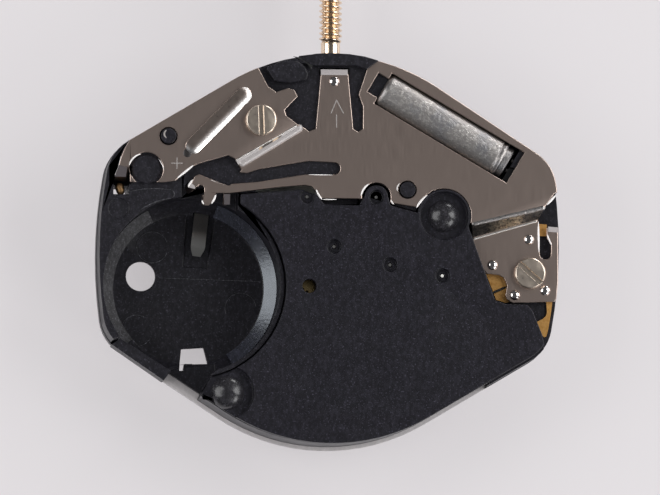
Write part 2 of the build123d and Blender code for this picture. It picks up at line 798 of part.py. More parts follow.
spacer_shares = (
    (-0.770, 0.292), (-0.600, 0.292), (-0.498, 0.292), (-0.165, 0.318), (-0.075, 0.300), (-0.045, 0.245),
    (0.121, 0.244), (0.300, 0.244), (0.430, 0.215), (0.660, 0.285), (1.060, 0.265), (1.300, 0.300),
    (1.300, 1.100), (-0.770, 1.100),
)
block_shares = (
    (-0.173, 0.935), (-0.115, 0.925), (0.120, 0.920), (0.165, 0.899), (0.240, 1.000), (-0.200, 1.050),
)
knob_shares = (
    (-0.306, 0.853), (-0.147, 0.843), (-0.132, 0.887), (-0.173, 0.942), (-0.198, 0.960), (-0.344, 0.913),
)
block_rise = 0.04
pin_rise = 0.10
chip_share = (0.360, 0.470)
chip_size = (1.3, 1.1, 0.35)
chip_gap = 0.10


def spacer_zone():
    """The plan of the floor that the spacer lies on."""
    zone = outline(spacer_shares) - disc(boss_notch_r, minute_at)
    zone -= disc(stake_notch_r, at_share(stake_shares[0]))
    return zone - pocket_face(pocket_r + pocket_wall)


def chip_block(grow):
    return Pos(*at_share(chip_share), board_z) * Box(
        chip_size[0] + 2 * grow, chip_size[1] + 2 * grow, chip_size[2] + grow, align=(Align.CENTER, Align.CENTER, Align.MAX)
    )


def spacer_top():
    """The raised block over the stem and the knob beside it, kept clear of the metal plate."""
    clear = offset(outline(centre_shares), cover_gap) + offset(outline(wing_shares), cover_gap)
    face = outline(block_shares) + outline(knob_shares)
    return (face & calibre_face()) - clear


def circuit_spacer():
    """The black spacer between the main plate and the metal plate."""
    room = offset(spacer_zone(), -cover_gap) & calibre_face(wall_inset)
    spacer = prism(room, mid_z, seat_z)
    spacer += prism(room & outline(wing_shares), seat_z, wing_z)
    spacer += prism(spacer_top(), seat_z, cover_top + block_rise)
    spacer -= prism(offset(board_upper_face(), cover_gap), board_z, seat_z)
    spacer -= prism(offset(outline(tongue_end_shares), cover_gap), seat_z - tongue_drop - cover_gap, wing_z)
    spacer -= prism(can_plan(can_gap), mid_z - overrun, cover_top + overrun)
    spacer -= chip_block(chip_gap) + lead_bar(hole_gap, -1) + lead_bar(hole_gap, 1)
    for shares in finger_shares:
        spacer -= prism(offset(outline(shares), cover_gap), seat_z - finger_drop, wing_z)
    spacer -= post(screw_shank_r + hole_gap, mid_z - overrun, cover_top, at_share(screw_shares[0]))
    return spacer + post(locating_pin_r, board_z, seat_z + plate_thickness + pin_rise, at_share(pin_shares[1]))


# Circuit board

board_shares = (
    (0.105, 0.320), (0.330, 0.300), (0.700, 0.290), (1.000, 0.270), (1.050, 0.300), (1.030, 0.420),
    (0.930, 0.400), (0.780, 0.420), (0.400, 0.600), (0.180, 0.560), (0.105, 0.520),
)
board_right_shares = (
    (0.735, 0.050), (0.750, -0.060), (0.780, -0.125), (0.832, -0.260), (0.880, -0.275), (0.990, -0.262),
    (1.088, -0.262), (1.092, -0.325), (1.086, -0.343), (1.070, -0.357), (1.040, -0.372), (1.055, -0.430),
    (1.078, -0.450), (1.110, -0.440), (1.135, -0.300), (1.135, -0.240), (1.062, -0.200), (1.062, -0.080),
    (1.045, -0.064), (1.045, 0.066), (1.092, 0.066), (1.092, 0.125), (1.020, 0.130),
)
board_joggle_shares = ((0.700, 0.290), (1.000, 0.270), (1.020, 0.130), (0.735, 0.050))
board_inset = 0.16


def board_upper_face():
    face = outline(board_shares) & calibre_face(board_inset)
    face -= disc(boss_notch_r + 3 * cover_gap, minute_at)
    return face - disc(stake_notch_r + 3 * cover_gap, at_share(stake_shares[0]))


def circuit_board():
    """The flexible circuit: an upper field round the chip and a lower field at the right."""
    lower = outline(board_right_shares) & calibre_face(board_inset)
    board = prism(board_upper_face(), board_z, board_z + board_thickness)
    board += prism(lower, mid_z, mid_z + board_thickness)
    board += sloped_strip(board_joggle_shares, board_z, mid_z, board_thickness)
    board -= prism(can_plan(can_gap), mid_z, cover_top)
    board -= post(locating_pin_r + hole_gap, mid_z, cover_top, at_share(pin_shares[1]))
    return board - post(screw_shank_r + hole_gap, mid_z - overrun, cover_top, at_share(screw_shares[1]))


def ic_chip():
    """The encapsulated chip under the board."""
    return chip_block(0)


# Crystal

can_start = -(can_length + can_seal_length) / 2
seal_start = can_start + can_length
seal_end = -can_start


def can_run(radius, start, end, aside=0):
    """A cylinder along the crystal's axis, measured from its middle."""
    base = (Align.CENTER, Align.CENTER, Align.MIN)
    axis = Pos(*can_at, can_z) * Rot(0, 0, can_tilt) * Rot(0, 90, 0)
    return axis * Pos(0, aside, start) * Cylinder(radius, end - start, align=base)


def lead_bar(grow, side):
    """One of the crystal's two wires, grown all round."""
    return can_run(lead_r + grow, seal_end, seal_end + lead_length + grow, side * lead_spread)


def crystal_can():
    """The drawn metal can of the quartz crystal, with its seal at the lower end."""
    can = can_run(can_r, can_start, seal_start)
    can = fillet(can.edges().filter_by(GeomType.CIRCLE), can_edge)
    return can + can_run(can_r - can_gap, seal_start, seal_end)


def crystal_leads():
    """The two wires of the crystal."""
    return [lead_bar(0, side) for side in (-1, 1)]


# Negative contact of the cell

contact_share = (-0.634, 0.319)
contact_turn = -97.6
contact_width = 0.56
contact_thickness = 0.08
contact_recess = 0.10
contact_foot = 0.85
contact_flat = 1.00
contact_crest = 2.35
contact_reach = 2.67
contact_crest_rise = 0.40
contact_tip_drop = 0.13
contact_gap = 0.05
channel_shares = ((-0.748, -0.086), (-0.625, -0.091), (-0.580, 0.176), (-0.730, 0.176))


def contact_strip(grow=0):
    """The bent leaf: a foot under the spacer, a leg down the wall and a spring over the pocket's floor."""
    foot_z = mid_z - contact_thickness / 2
    low_z = floor_z - contact_recess + contact_thickness / 2
    crest_z = floor_z + contact_crest_rise
    points = [(-contact_foot, foot_z), (0, foot_z), (0, low_z), (contact_flat, low_z)]
    points += [(contact_crest, crest_z), (contact_reach, crest_z - contact_tip_drop)]
    face = Sketch()
    for start, end in zip(points, points[1:]):
        face += bar(start, end, contact_thickness + 2 * grow)
    strip = extrude(face, amount=contact_width / 2 + grow, both=True)
    return Pos(*at_share(contact_share)) * Rot(0, 0, contact_turn) * Rot(90, 0, 0) * strip


def minus_contact():
    return contact_strip()


# Main plate

rim_zone_shares = ((-0.855, -0.600), (0.797, -0.600), (0.797, -1.200), (-0.855, -1.200))
rim_notch_shares = ((-0.833, -0.620), (-0.661, -0.734), (-0.680, -0.775), (-0.865, -0.672))
plateau_shares = (
    (-0.768, -0.600), (-0.741, -0.575), (-0.585, -0.575), (-0.585, -0.619), (-0.614, -0.644), (-0.661, -0.734),
    (-0.835, -0.619),
)
plateau_z = 0.50
right_room_shares = (
    (0.669, 0.147), (0.660, 0.285), (1.060, 0.265), (1.300, 0.300), (1.300, -0.560), (1.084, -0.560),
    (1.060, -0.444), (1.010, -0.321), (0.985, -0.292), (0.877, -0.289), (0.821, -0.270),
)
key_room_shares = (
    (-0.280, 0.563), (0.300, 0.563), (0.300, 0.790), (0.170, 0.850), (0.150, 0.925), (-0.150, 0.925),
    (-0.280, 0.870),
)
drain_share = (-0.963, -0.133)
drain_r = 0.575
window_shares = ((-0.756, -0.503), (-0.642, -0.496), (-0.621, -0.579), (-0.741, -0.581))
window_slot_shares = ((-0.756, -0.503), (-0.741, -0.581), (-0.747, -0.615), (-0.767, -0.615))
slit_shares = ((-1.121, 0.261), (-1.042, 0.261), (-1.042, 0.313), (-1.121, 0.313))
finger_room_shares = ((-0.775, 0.130), (-0.489, 0.130), (-0.489, 0.319), (-0.775, 0.350))
finger_room_z = 1.70
hook_room_shares = ((-1.140, 0.313), (-1.029, 0.313), (-1.029, 0.404), (-1.140, 0.404))
hook_room_z = 1.90
side_notch_shares = ((-1.130, -0.480), (-0.930, -0.400), (-0.800, -0.560), (-0.860, -0.690))
arch_post_r = 0.55
arch_post_top = wing_z + 0.03
ejector_share = (-1.094, 0.189)
ejector_r = 0.40
ejector_depth = 0.05
train_gap = 0.06
guard_hole_r = 1.20
foot_bore_r = 0.35
foot_bore_depth = 1.10
key_floor = 0.90
clutch_gap = 0.03


def dome(radius, low, high, place):
    """A round head with a flat foot."""
    rise = high - low
    ball_r = (radius ** 2 + rise ** 2) / (2 * rise)
    return Pos(*place, high - ball_r) * Sphere(ball_r) & post(radius, low, high, place)


def room_r(teeth, module):
    """The radius of the recess that a wheel turns in."""
    return teeth * module / 2 + addendum_share * module + train_gap


def plate_body():
    """The moulded plate's outside, with the floors that the cover, the spacer and the board lie on."""
    body = prism(calibre_face(), guard_top, flange_top)
    body += prism(calibre_face(wall_inset), flange_top, seat_z)
    body += prism(outline(wing_shares) & calibre_face(wall_inset), seat_z, wing_z)
    body -= prism(outline(rim_zone_shares) - calibre_face(rim_show), guard_top, cover_top)
    body -= prism(outline(rim_notch_shares), guard_top, cover_top)
    cover_room = offset(cover_zone(), cover_gap) - pocket_face(pocket_r + pocket_wall - cover_gap)
    body -= prism(cover_room, ledge_z, cover_top)
    body -= prism(spacer_zone(), mid_z, cover_top)
    body -= prism(outline(right_room_shares), mid_z, cover_top)
    return body


def pocket_room():
    """The battery pocket: a tapered foot, a straight wall and a lead at the top."""
    foot = Pos(*pocket_at, floor_z) * Cone(
        pocket_floor_r, pocket_r, pocket_step, align=(Align.CENTER, Align.CENTER, Align.MIN)
    )
    lead = Pos(*pocket_at, cover_top - pocket_lead) * Cone(
        pocket_r, pocket_r + 2 * pocket_lead, 2 * pocket_lead, align=(Align.CENTER, Align.CENTER, Align.MIN)
    )
    return foot + post(pocket_r, floor_z + pocket_step, cover_top + overrun, pocket_at) + lead


def train_room():
    """The recesses of the going train and the motor, open to the cover."""
    room = post(room_r(centre_teeth, third_module), web_top, cover_top)
    room += post(room_r(third_teeth, second_module), web_top, cover_top, third_at)
    room += post(room_r(fifth_pinion_teeth, fifth_module), web_top, cover_top, fifth_at)
    room += post(room_r(fifth_teeth, rotor_module), fifth_low - wheel_gap, cover_top, fifth_at)
    room += post(rotor_hole_r, web_top, cover_top, rotor_at)
    room += prism(stator_face(motor_gap), stator_low, cover_top)
    room += prism(bar(pad_places[0], pad_places[1], core_pad + 2 * motor_gap), stator_low, cover_top)
    length = coil_length + 2 * motor_gap
    trench = Pos(*coil_at) * Rectangle(length, 2 * (coil_r + motor_gap))
    return room + prism(trench, motor_low - motor_gap / 2, cover_top)


def motion_work_room():
    """The recess on the dial side for the hour, minute and setting wheels."""
    room = post(room_r(hour_teeth, hour_module), guard_top, web_low)
    room += post(room_r(minute_teeth, cannon_module), guard_top, web_low, minute_at)
    return room + post(room_r(setting_teeth, cannon_module), guard_top, web_low, setting_at)


def pivot_bores():
    """The holes in the web for the cannon pinion and the lower pivots."""
    bores = post(cannon_r + journal_gap, web_low - overrun, web_top)
    bores += post(arbor_r + pivot_gap, web_low - overrun, cover_top, minute_at)
    for place in (fifth_at, third_at, rotor_at):
        bores += post(pivot_r + pivot_gap, pivot_foot - level_gap, web_top + level_gap, place)
    return bores


def keyless_room():
    """The room for the stem, the clutch and the levers, with the stem's bearings."""
    room = prism(outline(key_room_shares), key_floor, cover_top)
    room += along_y(clutch_r + clutch_gap, wall_face_y, clutch_y + clutch_length + clutch_gap)
    room += along_y(pilot_r + journal_gap, pilot_y - stem_pull / 4, wall_face_y + level_gap)
    return room + along_y(journal_r + journal_gap, clutch_y + clutch_length, half + overrun)


def through_holes():
    """What goes right through the main plate and the guard."""
    holes = disc(drain_r, at_share(drain_share)) + outline(slit_shares)
    return holes + outline(window_shares) + outline(window_slot_shares)


def plate_pins():
    """The posts of the main plate: two stakes, the motor's pins, the levers' posts and a locating pin."""
    head_low = cover_top - stake_recess
    pins = post(locating_pin_r, seat_z, wing_z + plate_thickness + pin_rise, at_share(pin_shares[0]))
    for share, head_r in zip(stake_shares, stake_head_radii):
        pins += post(stake_r, ledge_z - level_gap, head_low, at_share(share))
        pins += dome(head_r, head_low, cover_top + stake_rise, at_share(share))
    for place in pad_places:
        pins += post(motor_pin_r, stator_low - level_gap, core_low + core_thickness + pin_rise, place)
    for place in (lever_pivot, yoke_post):
        pins += post(lever_post_r, key_floor - level_gap, mid_z, place)
    arch = disc(arch_post_r, at_share(arch_share)) & calibre_face(wall_inset)
    return pins + prism(arch, seat_z - level_gap, arch_post_top) + setting_post()


def main_plate():
    """The black moulded main plate that everything is built on."""
    plate = plate_body() - pocket_room() - train_room() - motion_work_room() - keyless_room()
    plate -= pivot_bores()
    plate -= prism(through_holes(), guard_top, cover_top)
    plate -= prism(outline(channel_shares), floor_z - contact_recess, floor_z + level_gap)
    plate -= contact_strip(contact_gap)
    plate -= prism(outline(finger_room_shares), finger_room_z, cover_top)
    plate -= prism(outline(hook_room_shares), hook_room_z, cover_top)
    plate -= prism(outline(side_notch_shares), flange_top, cover_top)
    plate -= prism(outline(plateau_shares), plateau_z, cover_top)
    plate -= prism(can_plan(can_gap), can_z - can_r, cover_top)
    plate -= post(ejector_r, seat_z - ejector_depth, cover_top, at_share(ejector_share))
    for share, level in zip(screw_shares, (wing_z, right_z)):
        seat = level + plate_thickness
        plate -= post(screw_shank_r, seat - screw_length, cover_top, at_share(share))
    for share in dial_foot_shares:
        plate -= post(foot_bore_r, guard_top, foot_bore_depth, at_share(share))
    return plate + plate_pins()


def dial_side_guard():
    """The pale plate on the dial side; the dial rests on it."""
    face = calibre_face() - through_holes() - Circle(guard_hole_r)
    face -= disc(pivot_r + pivot_gap, minute_at)
    for share in dial_foot_shares:
        face -= disc(foot_bore_r, at_share(share))
    return prism(face, 0, guard_top)


pieces = {
    "main_plate": main_plate,
    "dial_side_guard": dial_side_guard,
    "circuit_spacer": circuit_spacer,
    "circuit_board": circuit_board,
    "ic_chip": ic_chip,
    "crystal_can": crystal_can,
    "crystal_leads": crystal_leads,
    "minus_contact": minus_contact,
    "train_cover": train_cover,
    "battery_plus_plate": battery_plus_plate,
    "plate_screws": plate_screws,
    "stator": stator,
    "coil_core": coil_core,
    "coil_flanges": coil_flanges,
    "coil_winding": coil_winding,
    "rotor_magnet": rotor_magnet,
    "rotor_pinion": rotor_pinion,
    "fifth_wheel": fifth_wheel,
    "fifth_arbor": fifth_arbor,
    "second_wheel": second_wheel,
    "second_arbor": second_arbor,
    "third_wheel": third_wheel,
    "third_arbor": third_arbor,
    "centre_wheel": centre_wheel,
    "cannon_pinion": cannon_pinion,
    "minute_wheel": minute_wheel,
    "minute_arbor": minute_arbor,
    "hour_wheel": hour_wheel,
    "setting_wheel": setting_wheel,
    "winding_stem": winding_stem,
    "clutch_wheel": clutch_wheel,
    "setting_lever": setting_lever,
    "yoke": yoke,
    "reset_lever": reset_lever,
}

for name, build in pieces.items():
    shape = build()
    solids = shape if isinstance(shape, list) else shape.solids()
    node = solids[0] if len(solids) == 1 else Compound(children=list(solids))
    node.label = name
    export_step(node, "parts/" + name + ".step")
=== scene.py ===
# %% [markdown]
# # A quartz watch movement, seen from its battery side
#
# The CAD part gives every piece its place and its size. This script gives the pieces their looks: the
# moulded black plastic, the brushed plate, the turned stem with its thread and the drawn can of the
# crystal. Every length is in millimetres here and goes into Blender as metres.

# %% Load the frame
import json
import math
import bmesh
import bpy
import numpy as np
from mathutils import Matrix, Vector


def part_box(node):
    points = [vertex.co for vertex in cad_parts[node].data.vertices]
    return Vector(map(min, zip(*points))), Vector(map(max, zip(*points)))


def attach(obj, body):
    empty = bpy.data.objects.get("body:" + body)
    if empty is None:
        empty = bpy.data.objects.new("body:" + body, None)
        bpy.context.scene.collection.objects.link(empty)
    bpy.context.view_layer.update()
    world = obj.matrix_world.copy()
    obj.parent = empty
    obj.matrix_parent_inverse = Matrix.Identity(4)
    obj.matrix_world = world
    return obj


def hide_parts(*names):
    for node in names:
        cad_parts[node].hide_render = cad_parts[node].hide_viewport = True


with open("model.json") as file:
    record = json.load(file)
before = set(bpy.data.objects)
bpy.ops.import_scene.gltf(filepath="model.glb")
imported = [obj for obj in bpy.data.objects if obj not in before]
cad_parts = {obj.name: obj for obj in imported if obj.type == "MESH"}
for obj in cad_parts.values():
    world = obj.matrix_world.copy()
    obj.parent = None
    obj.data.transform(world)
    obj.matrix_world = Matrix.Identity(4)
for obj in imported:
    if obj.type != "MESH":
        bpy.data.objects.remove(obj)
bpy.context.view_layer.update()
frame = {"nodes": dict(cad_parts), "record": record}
MM = 0.001

# %% [markdown]
# ## A surface from a grid of points
#
# Most shapes made here are a grid of points: rows along the piece, columns round it or across it. One
# function turns such a grid into a mesh, closes it round and puts a face on each end. Blender's own cylinders
# and spheres could be pushed into some of these shapes, but a formula keeps every size a number with a name.

# %% Pieces on a body
BODY_OF = {node: body for body, nodes in frame["record"]["behaviour"]["bodies"].items() for node in nodes}


def new_piece(name, mesh, material, body):
    """A finished object at the origin that rides on a CAD body."""
    mesh.materials.clear()
    mesh.materials.append(material)
    piece = bpy.data.objects.new(name, mesh)
    bpy.context.scene.collection.objects.link(piece)
    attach(piece, body)
    return piece


print("CAD nodes:", len(BODY_OF), "bodies:", len(set(BODY_OF.values())))

# %% Meshes from grids


def grid_mesh(name, grid, sharp_angle=35):
    """
    A mesh whose vertices are the grid's points in millimetres, rows by columns.
    Each cell is a quad, the last column joins the first, and the two end rows get a cap. Edges where the
    surface turns by more than the sharp angle stay sharp, all others are shaded smooth.
    """
    rows, columns = grid.shape[:2]
    row = np.arange(rows - 1)[:, None] * columns
    here = np.arange(columns)[None, :]
    after = (here + 1) % columns
    quads = np.stack([row + here, row + after, row + columns + after, row + columns + here], axis=-1)
    faces = quads.reshape(-1, 4).tolist()
    faces.append(list(range(columns - 1, -1, -1)))
    faces.append([(rows - 1) * columns + k for k in range(columns)])
    mesh = bpy.data.meshes.new(name)
    mesh.from_pydata((grid.reshape(-1, 3) * MM).tolist(), [], faces)
    mesh.validate()
    work = bmesh.new()
    work.from_mesh(mesh)
    bmesh.ops.remove_doubles(work, verts=work.verts, dist=1e-7)
    bmesh.ops.recalc_face_normals(work, faces=work.faces)
    work.to_mesh(mesh)
    work.free()
    mesh.shade_smooth()
    mesh.set_sharp_from_angle(angle=math.radians(sharp_angle))
    return mesh


def surface(name, grid, material, body="root", sharp_angle=35):
    """A piece that is made of a grid of points."""
    piece = new_piece(name, grid_mesh(name, grid, sharp_angle), material, body)
    return piece


# %% [markdown]
# ## The camera
#
# The photograph looks almost straight down on the movement. Where the side of the calibre can be seen, on
# the left and along the lower edge, it shows how far the view leans: 0.078 mm for each millimetre of depth.
# A long lens from half a metre away keeps parallel edges parallel. An orthographic camera would do nearly the
# same, but a real picture of so small a thing is taken with a long lens.

# %% Camera
PHOTO_WIDTH_PX = 660
PX_PER_MM = 25.6
VIEW_CENTRE = np.array((-0.164, -0.043, 2.9))
LEAN = np.array((-0.078, -0.078, 1.0))
FORESHORTENING = 0.997
CAMERA_AWAY = 500.0
SENSOR = 36.0

view_width = PHOTO_WIDTH_PX / PX_PER_MM * FORESHORTENING
toward_camera = LEAN / np.linalg.norm(LEAN)
camera_data = bpy.data.cameras.new("camera")
camera_data.sensor_width = SENSOR
camera_data.lens = SENSOR * CAMERA_AWAY / view_width
camera_data.clip_start = 0.01
camera = bpy.data.objects.new("camera", camera_data)
bpy.context.scene.collection.objects.link(camera)
camera.location = Vector((VIEW_CENTRE + toward_camera * CAMERA_AWAY) * MM)
back = Vector(toward_camera)
right = Vector((0, 1, 0)).cross(back).normalized()
camera.rotation_euler = Matrix((right, back.cross(right), back)).transposed().to_euler()
bpy.context.scene.camera = camera
print("view width in mm:", round(view_width, 2), "lens in mm:", round(camera_data.lens, 1))

# %% [markdown]
# ## Finishes
#
# Every finish starts from the same few nodes. The object's own coordinates are scaled to millimetres, a
# noise gives grain or streaks, and the grain goes to the colour, the roughness or the height. A picture of a
# surface could be wrapped round each piece instead. Nodes need no seams and stay fine when one comes close.

# %% Node helpers


class Finish:
    """A material that is built up step by step."""

    def __init__(self, name, colour, metallic, roughness):
        self.material = bpy.data.materials.new(name)
        self.material.use_nodes = True
        self.material.diffuse_color = (*colour, 1)
        self.tree = self.material.node_tree
        self.shader = self.tree.nodes["Principled BSDF"]
        self.set("Base Color", (*colour, 1))
        self.set("Metallic", metallic)
        self.set("Roughness", roughness)
        place = self.add("ShaderNodeTexCoord")
        self.mm = self.add("ShaderNodeVectorMath", operation="SCALE")
        self.mm.inputs["Scale"].default_value = 1 / MM
        self.join(place.outputs["Object"], self.mm.inputs[0])
        self.height = None

    def add(self, kind, **settings):
        """A new node of that kind with its settings."""
        node = self.tree.nodes.new(kind)
        for key, value in settings.items():
            setattr(node, key, value)
        return node

    def join(self, start, end):
        """A link from an output to an input."""
        self.tree.links.new(start, end)

    def set(self, socket, value):
        """A constant on one of the shader's own sockets."""
        self.shader.inputs[socket].default_value = value

    def noise(self, per_mm, detail=2.0, stretch=(1, 1, 1), low=0.0, high=1.0, rough=0.5):
        """Noise with that many features to the mm, scaled along each axis and brought from low..high to 0..1."""
        scaled = self.add("ShaderNodeMapping")
        scaled.inputs["Scale"].default_value = stretch
        self.join(self.mm.outputs[0], scaled.inputs["Vector"])
        node = self.add("ShaderNodeTexNoise")
        node.inputs["Scale"].default_value = per_mm
        node.inputs["Detail"].default_value = detail
        node.inputs["Roughness"].default_value = rough
        self.join(scaled.outputs[0], node.inputs["Vector"])
        return self.range(node.outputs["Fac"], low, high, 0, 1)

    def along(self, axis):
        """The place along one axis in millimetres."""
        node = self.add("ShaderNodeSeparateXYZ")
        self.join(self.mm.outputs[0], node.inputs[0])
        return node.outputs[axis]

    def range(self, value, low, high, to_low, to_high):
        """Brings a value from low..high to another range and holds it there."""
        node = self.add("ShaderNodeMapRange")
        for socket, number in zip(("From Min", "From Max", "To Min", "To Max"), (low, high, to_low, to_high)):
            node.inputs[socket].default_value = number
        self.join(value, node.inputs["Value"])
        return node.outputs[0]

    def tint(self, amount, colour):
        """Mixes another colour into the base colour by an amount from 0 to 1."""
        node = self.add("ShaderNodeMix", data_type="RGBA")
        before = self.shader.inputs["Base Color"]
        if before.is_linked:
            self.join(before.links[0].from_socket, node.inputs["A"])
        else:
            node.inputs["A"].default_value = before.default_value
        node.inputs["B"].default_value = (*colour, 1)
        self.join(amount, node.inputs["Factor"])
        self.join(node.outputs["Result"], before)

    def vary_roughness(self, amount, low, high):
        """Lets the roughness go from low to high with an amount from 0 to 1."""
        self.join(self.range(amount, 0, 1, low, high), self.shader.inputs["Roughness"])

    def bump(self, height, depth_mm, strength=1.0):
        """Raises the surface by up to a depth in millimetres where the height is 1."""
        node = self.add("ShaderNodeBump")
        node.inputs["Strength"].default_value = strength
        node.inputs["Distance"].default_value = depth_mm * MM
        self.join(height, node.inputs["Height"])
        if self.height is not None:
            self.join(self.height, node.inputs["Normal"])
        self.height = node.outputs[0]
        self.join(self.height, self.shader.inputs["Normal"])


print("steps of a finish:", [name for name in vars(Finish) if not name.startswith("_")])

# %% [markdown]
# ### Black moulded plastic
#
# The main plate, the spacer and the cover are a black glass-filled plastic. The mould was spark eroded, so the
# skin has a fine even grain. Handling leaves a faint grey bloom in soft streaks, and fibres that lie at the
# surface glint as specks. One plain black would look like a hole in the picture, so each of the three gets
# a noise of its own size. The bloom and the specks are named as multiples of the plastic's own colour.

# %% Plastics
BLOOM_TIMES, SPECK_TIMES = 3.6, 6
PALEST = 0.9


def moulded(name, colour, roughness, grain_mm=0.006, bloom=0.5, shine=0.28):
    """Moulded plastic: grain in the height, cloudiness in the roughness, a streaky bloom and pale specks."""
    finish = Finish(name, colour, 0.0, roughness)
    finish.set("Specular IOR Level", shine)
    cloud = finish.noise(0.9, detail=3)
    finish.vary_roughness(cloud, roughness - 0.06, roughness + 0.08)
    grain = finish.noise(9, detail=2, low=0.3, high=0.7)
    finish.bump(grain, grain_mm, 0.4)
    streaks = finish.noise(8, detail=5, stretch=(1, 0.55, 1), low=0.45, high=0.70, rough=0.65)
    finish.tint(finish.range(streaks, 0, 1, 0, bloom), tuple(BLOOM_TIMES * part for part in colour))
    specks = finish.noise(16, detail=2, low=0.60, high=0.74)
    speck_share = 2 * min(bloom, 0.5)
    finish.tint(finish.range(specks, 0, 1, 0, speck_share), tuple(min(SPECK_TIMES * part, PALEST) for part in colour))
    return finish.material


black_plastic = moulded("black_plastic", (0.0080, 0.0076, 0.0100), 0.40)
cover_plastic = moulded("cover_plastic", (0.0068, 0.0064, 0.0090), 0.46, shine=0.22)
spacer_plastic = moulded("spacer_plastic", (0.0080, 0.0076, 0.0100), 0.40)
stake_plastic = moulded("stake_plastic", (0.012, 0.0115, 0.0135), 0.24, grain_mm=0.004, shine=0.5)
scribed = moulded("scribed", (0.26, 0.24, 0.23), 0.5, bloom=0.0)
mould_wall = moulded("mould_wall", (0.015, 0.0145, 0.0165), 0.46, bloom=0.9, shine=0.2)
mould_line = moulded("mould_line", (0.030, 0.030, 0.034), 0.35, bloom=0.6)
pocket_gloss = moulded("pocket_gloss", (0.012, 0.012, 0.018), 0.25, grain_mm=0.006, shine=1.0)
pocket_gloss.node_tree.nodes["Principled BSDF"].inputs["Specular Tint"].default_value = (0.86, 0.93, 1.0, 1)
# This near-black is the chip's own resin, and it also paints the shade in fine gaps.
resin = moulded("resin", (0.012, 0.012, 0.012), 0.5)
white_plastic = moulded("white_plastic", (0.78, 0.77, 0.72), 0.4, bloom=0.0)
guard_plastic = moulded("guard_plastic", (0.46, 0.435, 0.44), 0.45, bloom=0.05)
print("plastics made, materials so far:", len(bpy.data.materials))

# %% [markdown]
# ### Metals
#
# The circuit plate is a rolled steel sheet. Its lines run up and down the picture, so the noise is stretched
# along Y. The arbors, the screws and the pressed places are polished or plated and need only some unevenness.
# An image of real steel could do this for one piece. A noise does it for every piece, whatever its size.

# %% Metals


def rolled(name, colour, roughness):
    """Rolled sheet: fine lines in the height and in the roughness, and a soft cloudiness in the colour."""
    finish = Finish(name, colour, 1.0, roughness)
    line = finish.noise(34, detail=3, stretch=(1, 0.035, 1), low=0.25, high=0.75)
    cloud = finish.noise(0.6, detail=2)
    finish.vary_roughness(line, roughness - 0.03, roughness + 0.03)
    finish.tint(finish.range(cloud, 0.3, 0.7, 0.0, 0.12), tuple(0.8 * part for part in colour))
    finish.bump(line, 0.0003, 0.6)
    return finish.material


def bright(name, colour, roughness, mottle=0.06, per_mm=6, depth_mm=0.004):
    """Polished or plated metal with small unevenness."""
    finish = Finish(name, colour, 1.0, roughness)
    spots = finish.noise(per_mm, detail=3)
    finish.vary_roughness(spots, roughness - mottle, roughness + mottle)
    finish.bump(spots, depth_mm, 0.4)
    return finish.material


plate_steel = rolled("plate_steel", (0.56, 0.45, 0.395), 0.34)
spring_steel = rolled("spring_steel", (0.50, 0.49, 0.47), 0.30)
soft_iron = rolled("soft_iron", (0.42, 0.42, 0.43), 0.4)
gilt_steel = bright("gilt_steel", (0.86, 0.74, 0.62), 0.32, mottle=0.10)
stem_steel = bright("stem_steel", (0.84, 0.68, 0.52), 0.24)
dimple_steel = bright("dimple_steel", (0.80, 0.76, 0.74), 0.10, mottle=0.03, depth_mm=0.001)
bend_steel = bright("bend_steel", (0.78, 0.75, 0.72), 0.40, mottle=0.14, per_mm=9, depth_mm=0.016)
worn_bend = bright("worn_bend", (0.48, 0.46, 0.45), 0.34, mottle=0.22, per_mm=14, depth_mm=0.03)
dark_steel = bright("dark_steel", (0.08, 0.075, 0.075), 0.45)
bronze = bright("bronze", (0.32, 0.20, 0.10), 0.55)
magnet_metal = bright("magnet_metal", (0.25, 0.25, 0.27), 0.4)
brass = bright("brass", (0.80, 0.60, 0.28), 0.28)
copper = bright("copper", (0.72, 0.33, 0.18), 0.35)
print("metals made, materials so far:", len(bpy.data.materials))

# %% [markdown]
# ### Edges, steps and the rib
#
# The steel's edges, steps and the rib's fall catch the walls of the tent, and that light and shade is painted into
# their colour: a near-white edge is a painted highlight, a near-black one is painted shade, and pale greys paint the
# light on slopes and steps. Painting each band would need an image. Here the bands lie along one axis, so a ramp over
# the place along that axis puts them there.

# %% Edge finishes
# Painted light for edges and slopes: near white is a painted highlight, near black is painted shade, and the two pale
# greys paint the light that the slopes and the wing's low bend catch.
lit_edge = Finish("lit_edge", (0.86, 0.83, 0.82), 0.2, 0.42).material
painted_shade_edge = Finish("painted_shade_edge", (0.085, 0.074, 0.078), 0.3, 0.45).material
grey_edge = Finish("grey_edge", (0.42, 0.39, 0.39), 0.3, 0.40).material
soft_step = Finish("soft_step", (0.40, 0.375, 0.37), 0.3, 0.40).material

# The lower part of the rib, its long fall on the right, is tinted near white: a painted highlight on the side that
# faces the light.
ridge = Finish("rib_steel", (0.50, 0.41, 0.36), 1.0, 0.30)
ridge.tint(ridge.range(ridge.along("Z"), 3.172, 3.135, 0, 1), (0.97, 0.94, 0.92))
ridge.vary_roughness(ridge.noise(8, detail=3), 0.24, 0.36)
ridge.bump(ridge.noise(6, detail=3), 0.003, 0.4)
rib_steel = ridge.material

scuff_and_shade = Finish("slope_steel", (0.55, 0.47, 0.36), 1.0, 0.26)
scuff_and_shade.vary_roughness(scuff_and_shade.noise(6, detail=3), 0.20, 0.36)
scuff_and_shade.tint(scuff_and_shade.noise(9, detail=4, low=0.50, high=0.60), (0.20, 0.17, 0.14))
# Outside a middle band the right slope is darkened to near black towards both ends: painted shade round a painted
# highlight. The dark noise above is scuffing.
for start, end in ((6.5, 6.0), (7.1, 7.5)):
    scuff_and_shade.tint(scuff_and_shade.range(scuff_and_shade.along("X"), start, end, 0, 0.85), (0.05, 0.05, 0.055))
scuff_and_shade.bump(scuff_and_shade.noise(9, detail=3), 0.010, 0.5)
slope_steel = scuff_and_shade.material
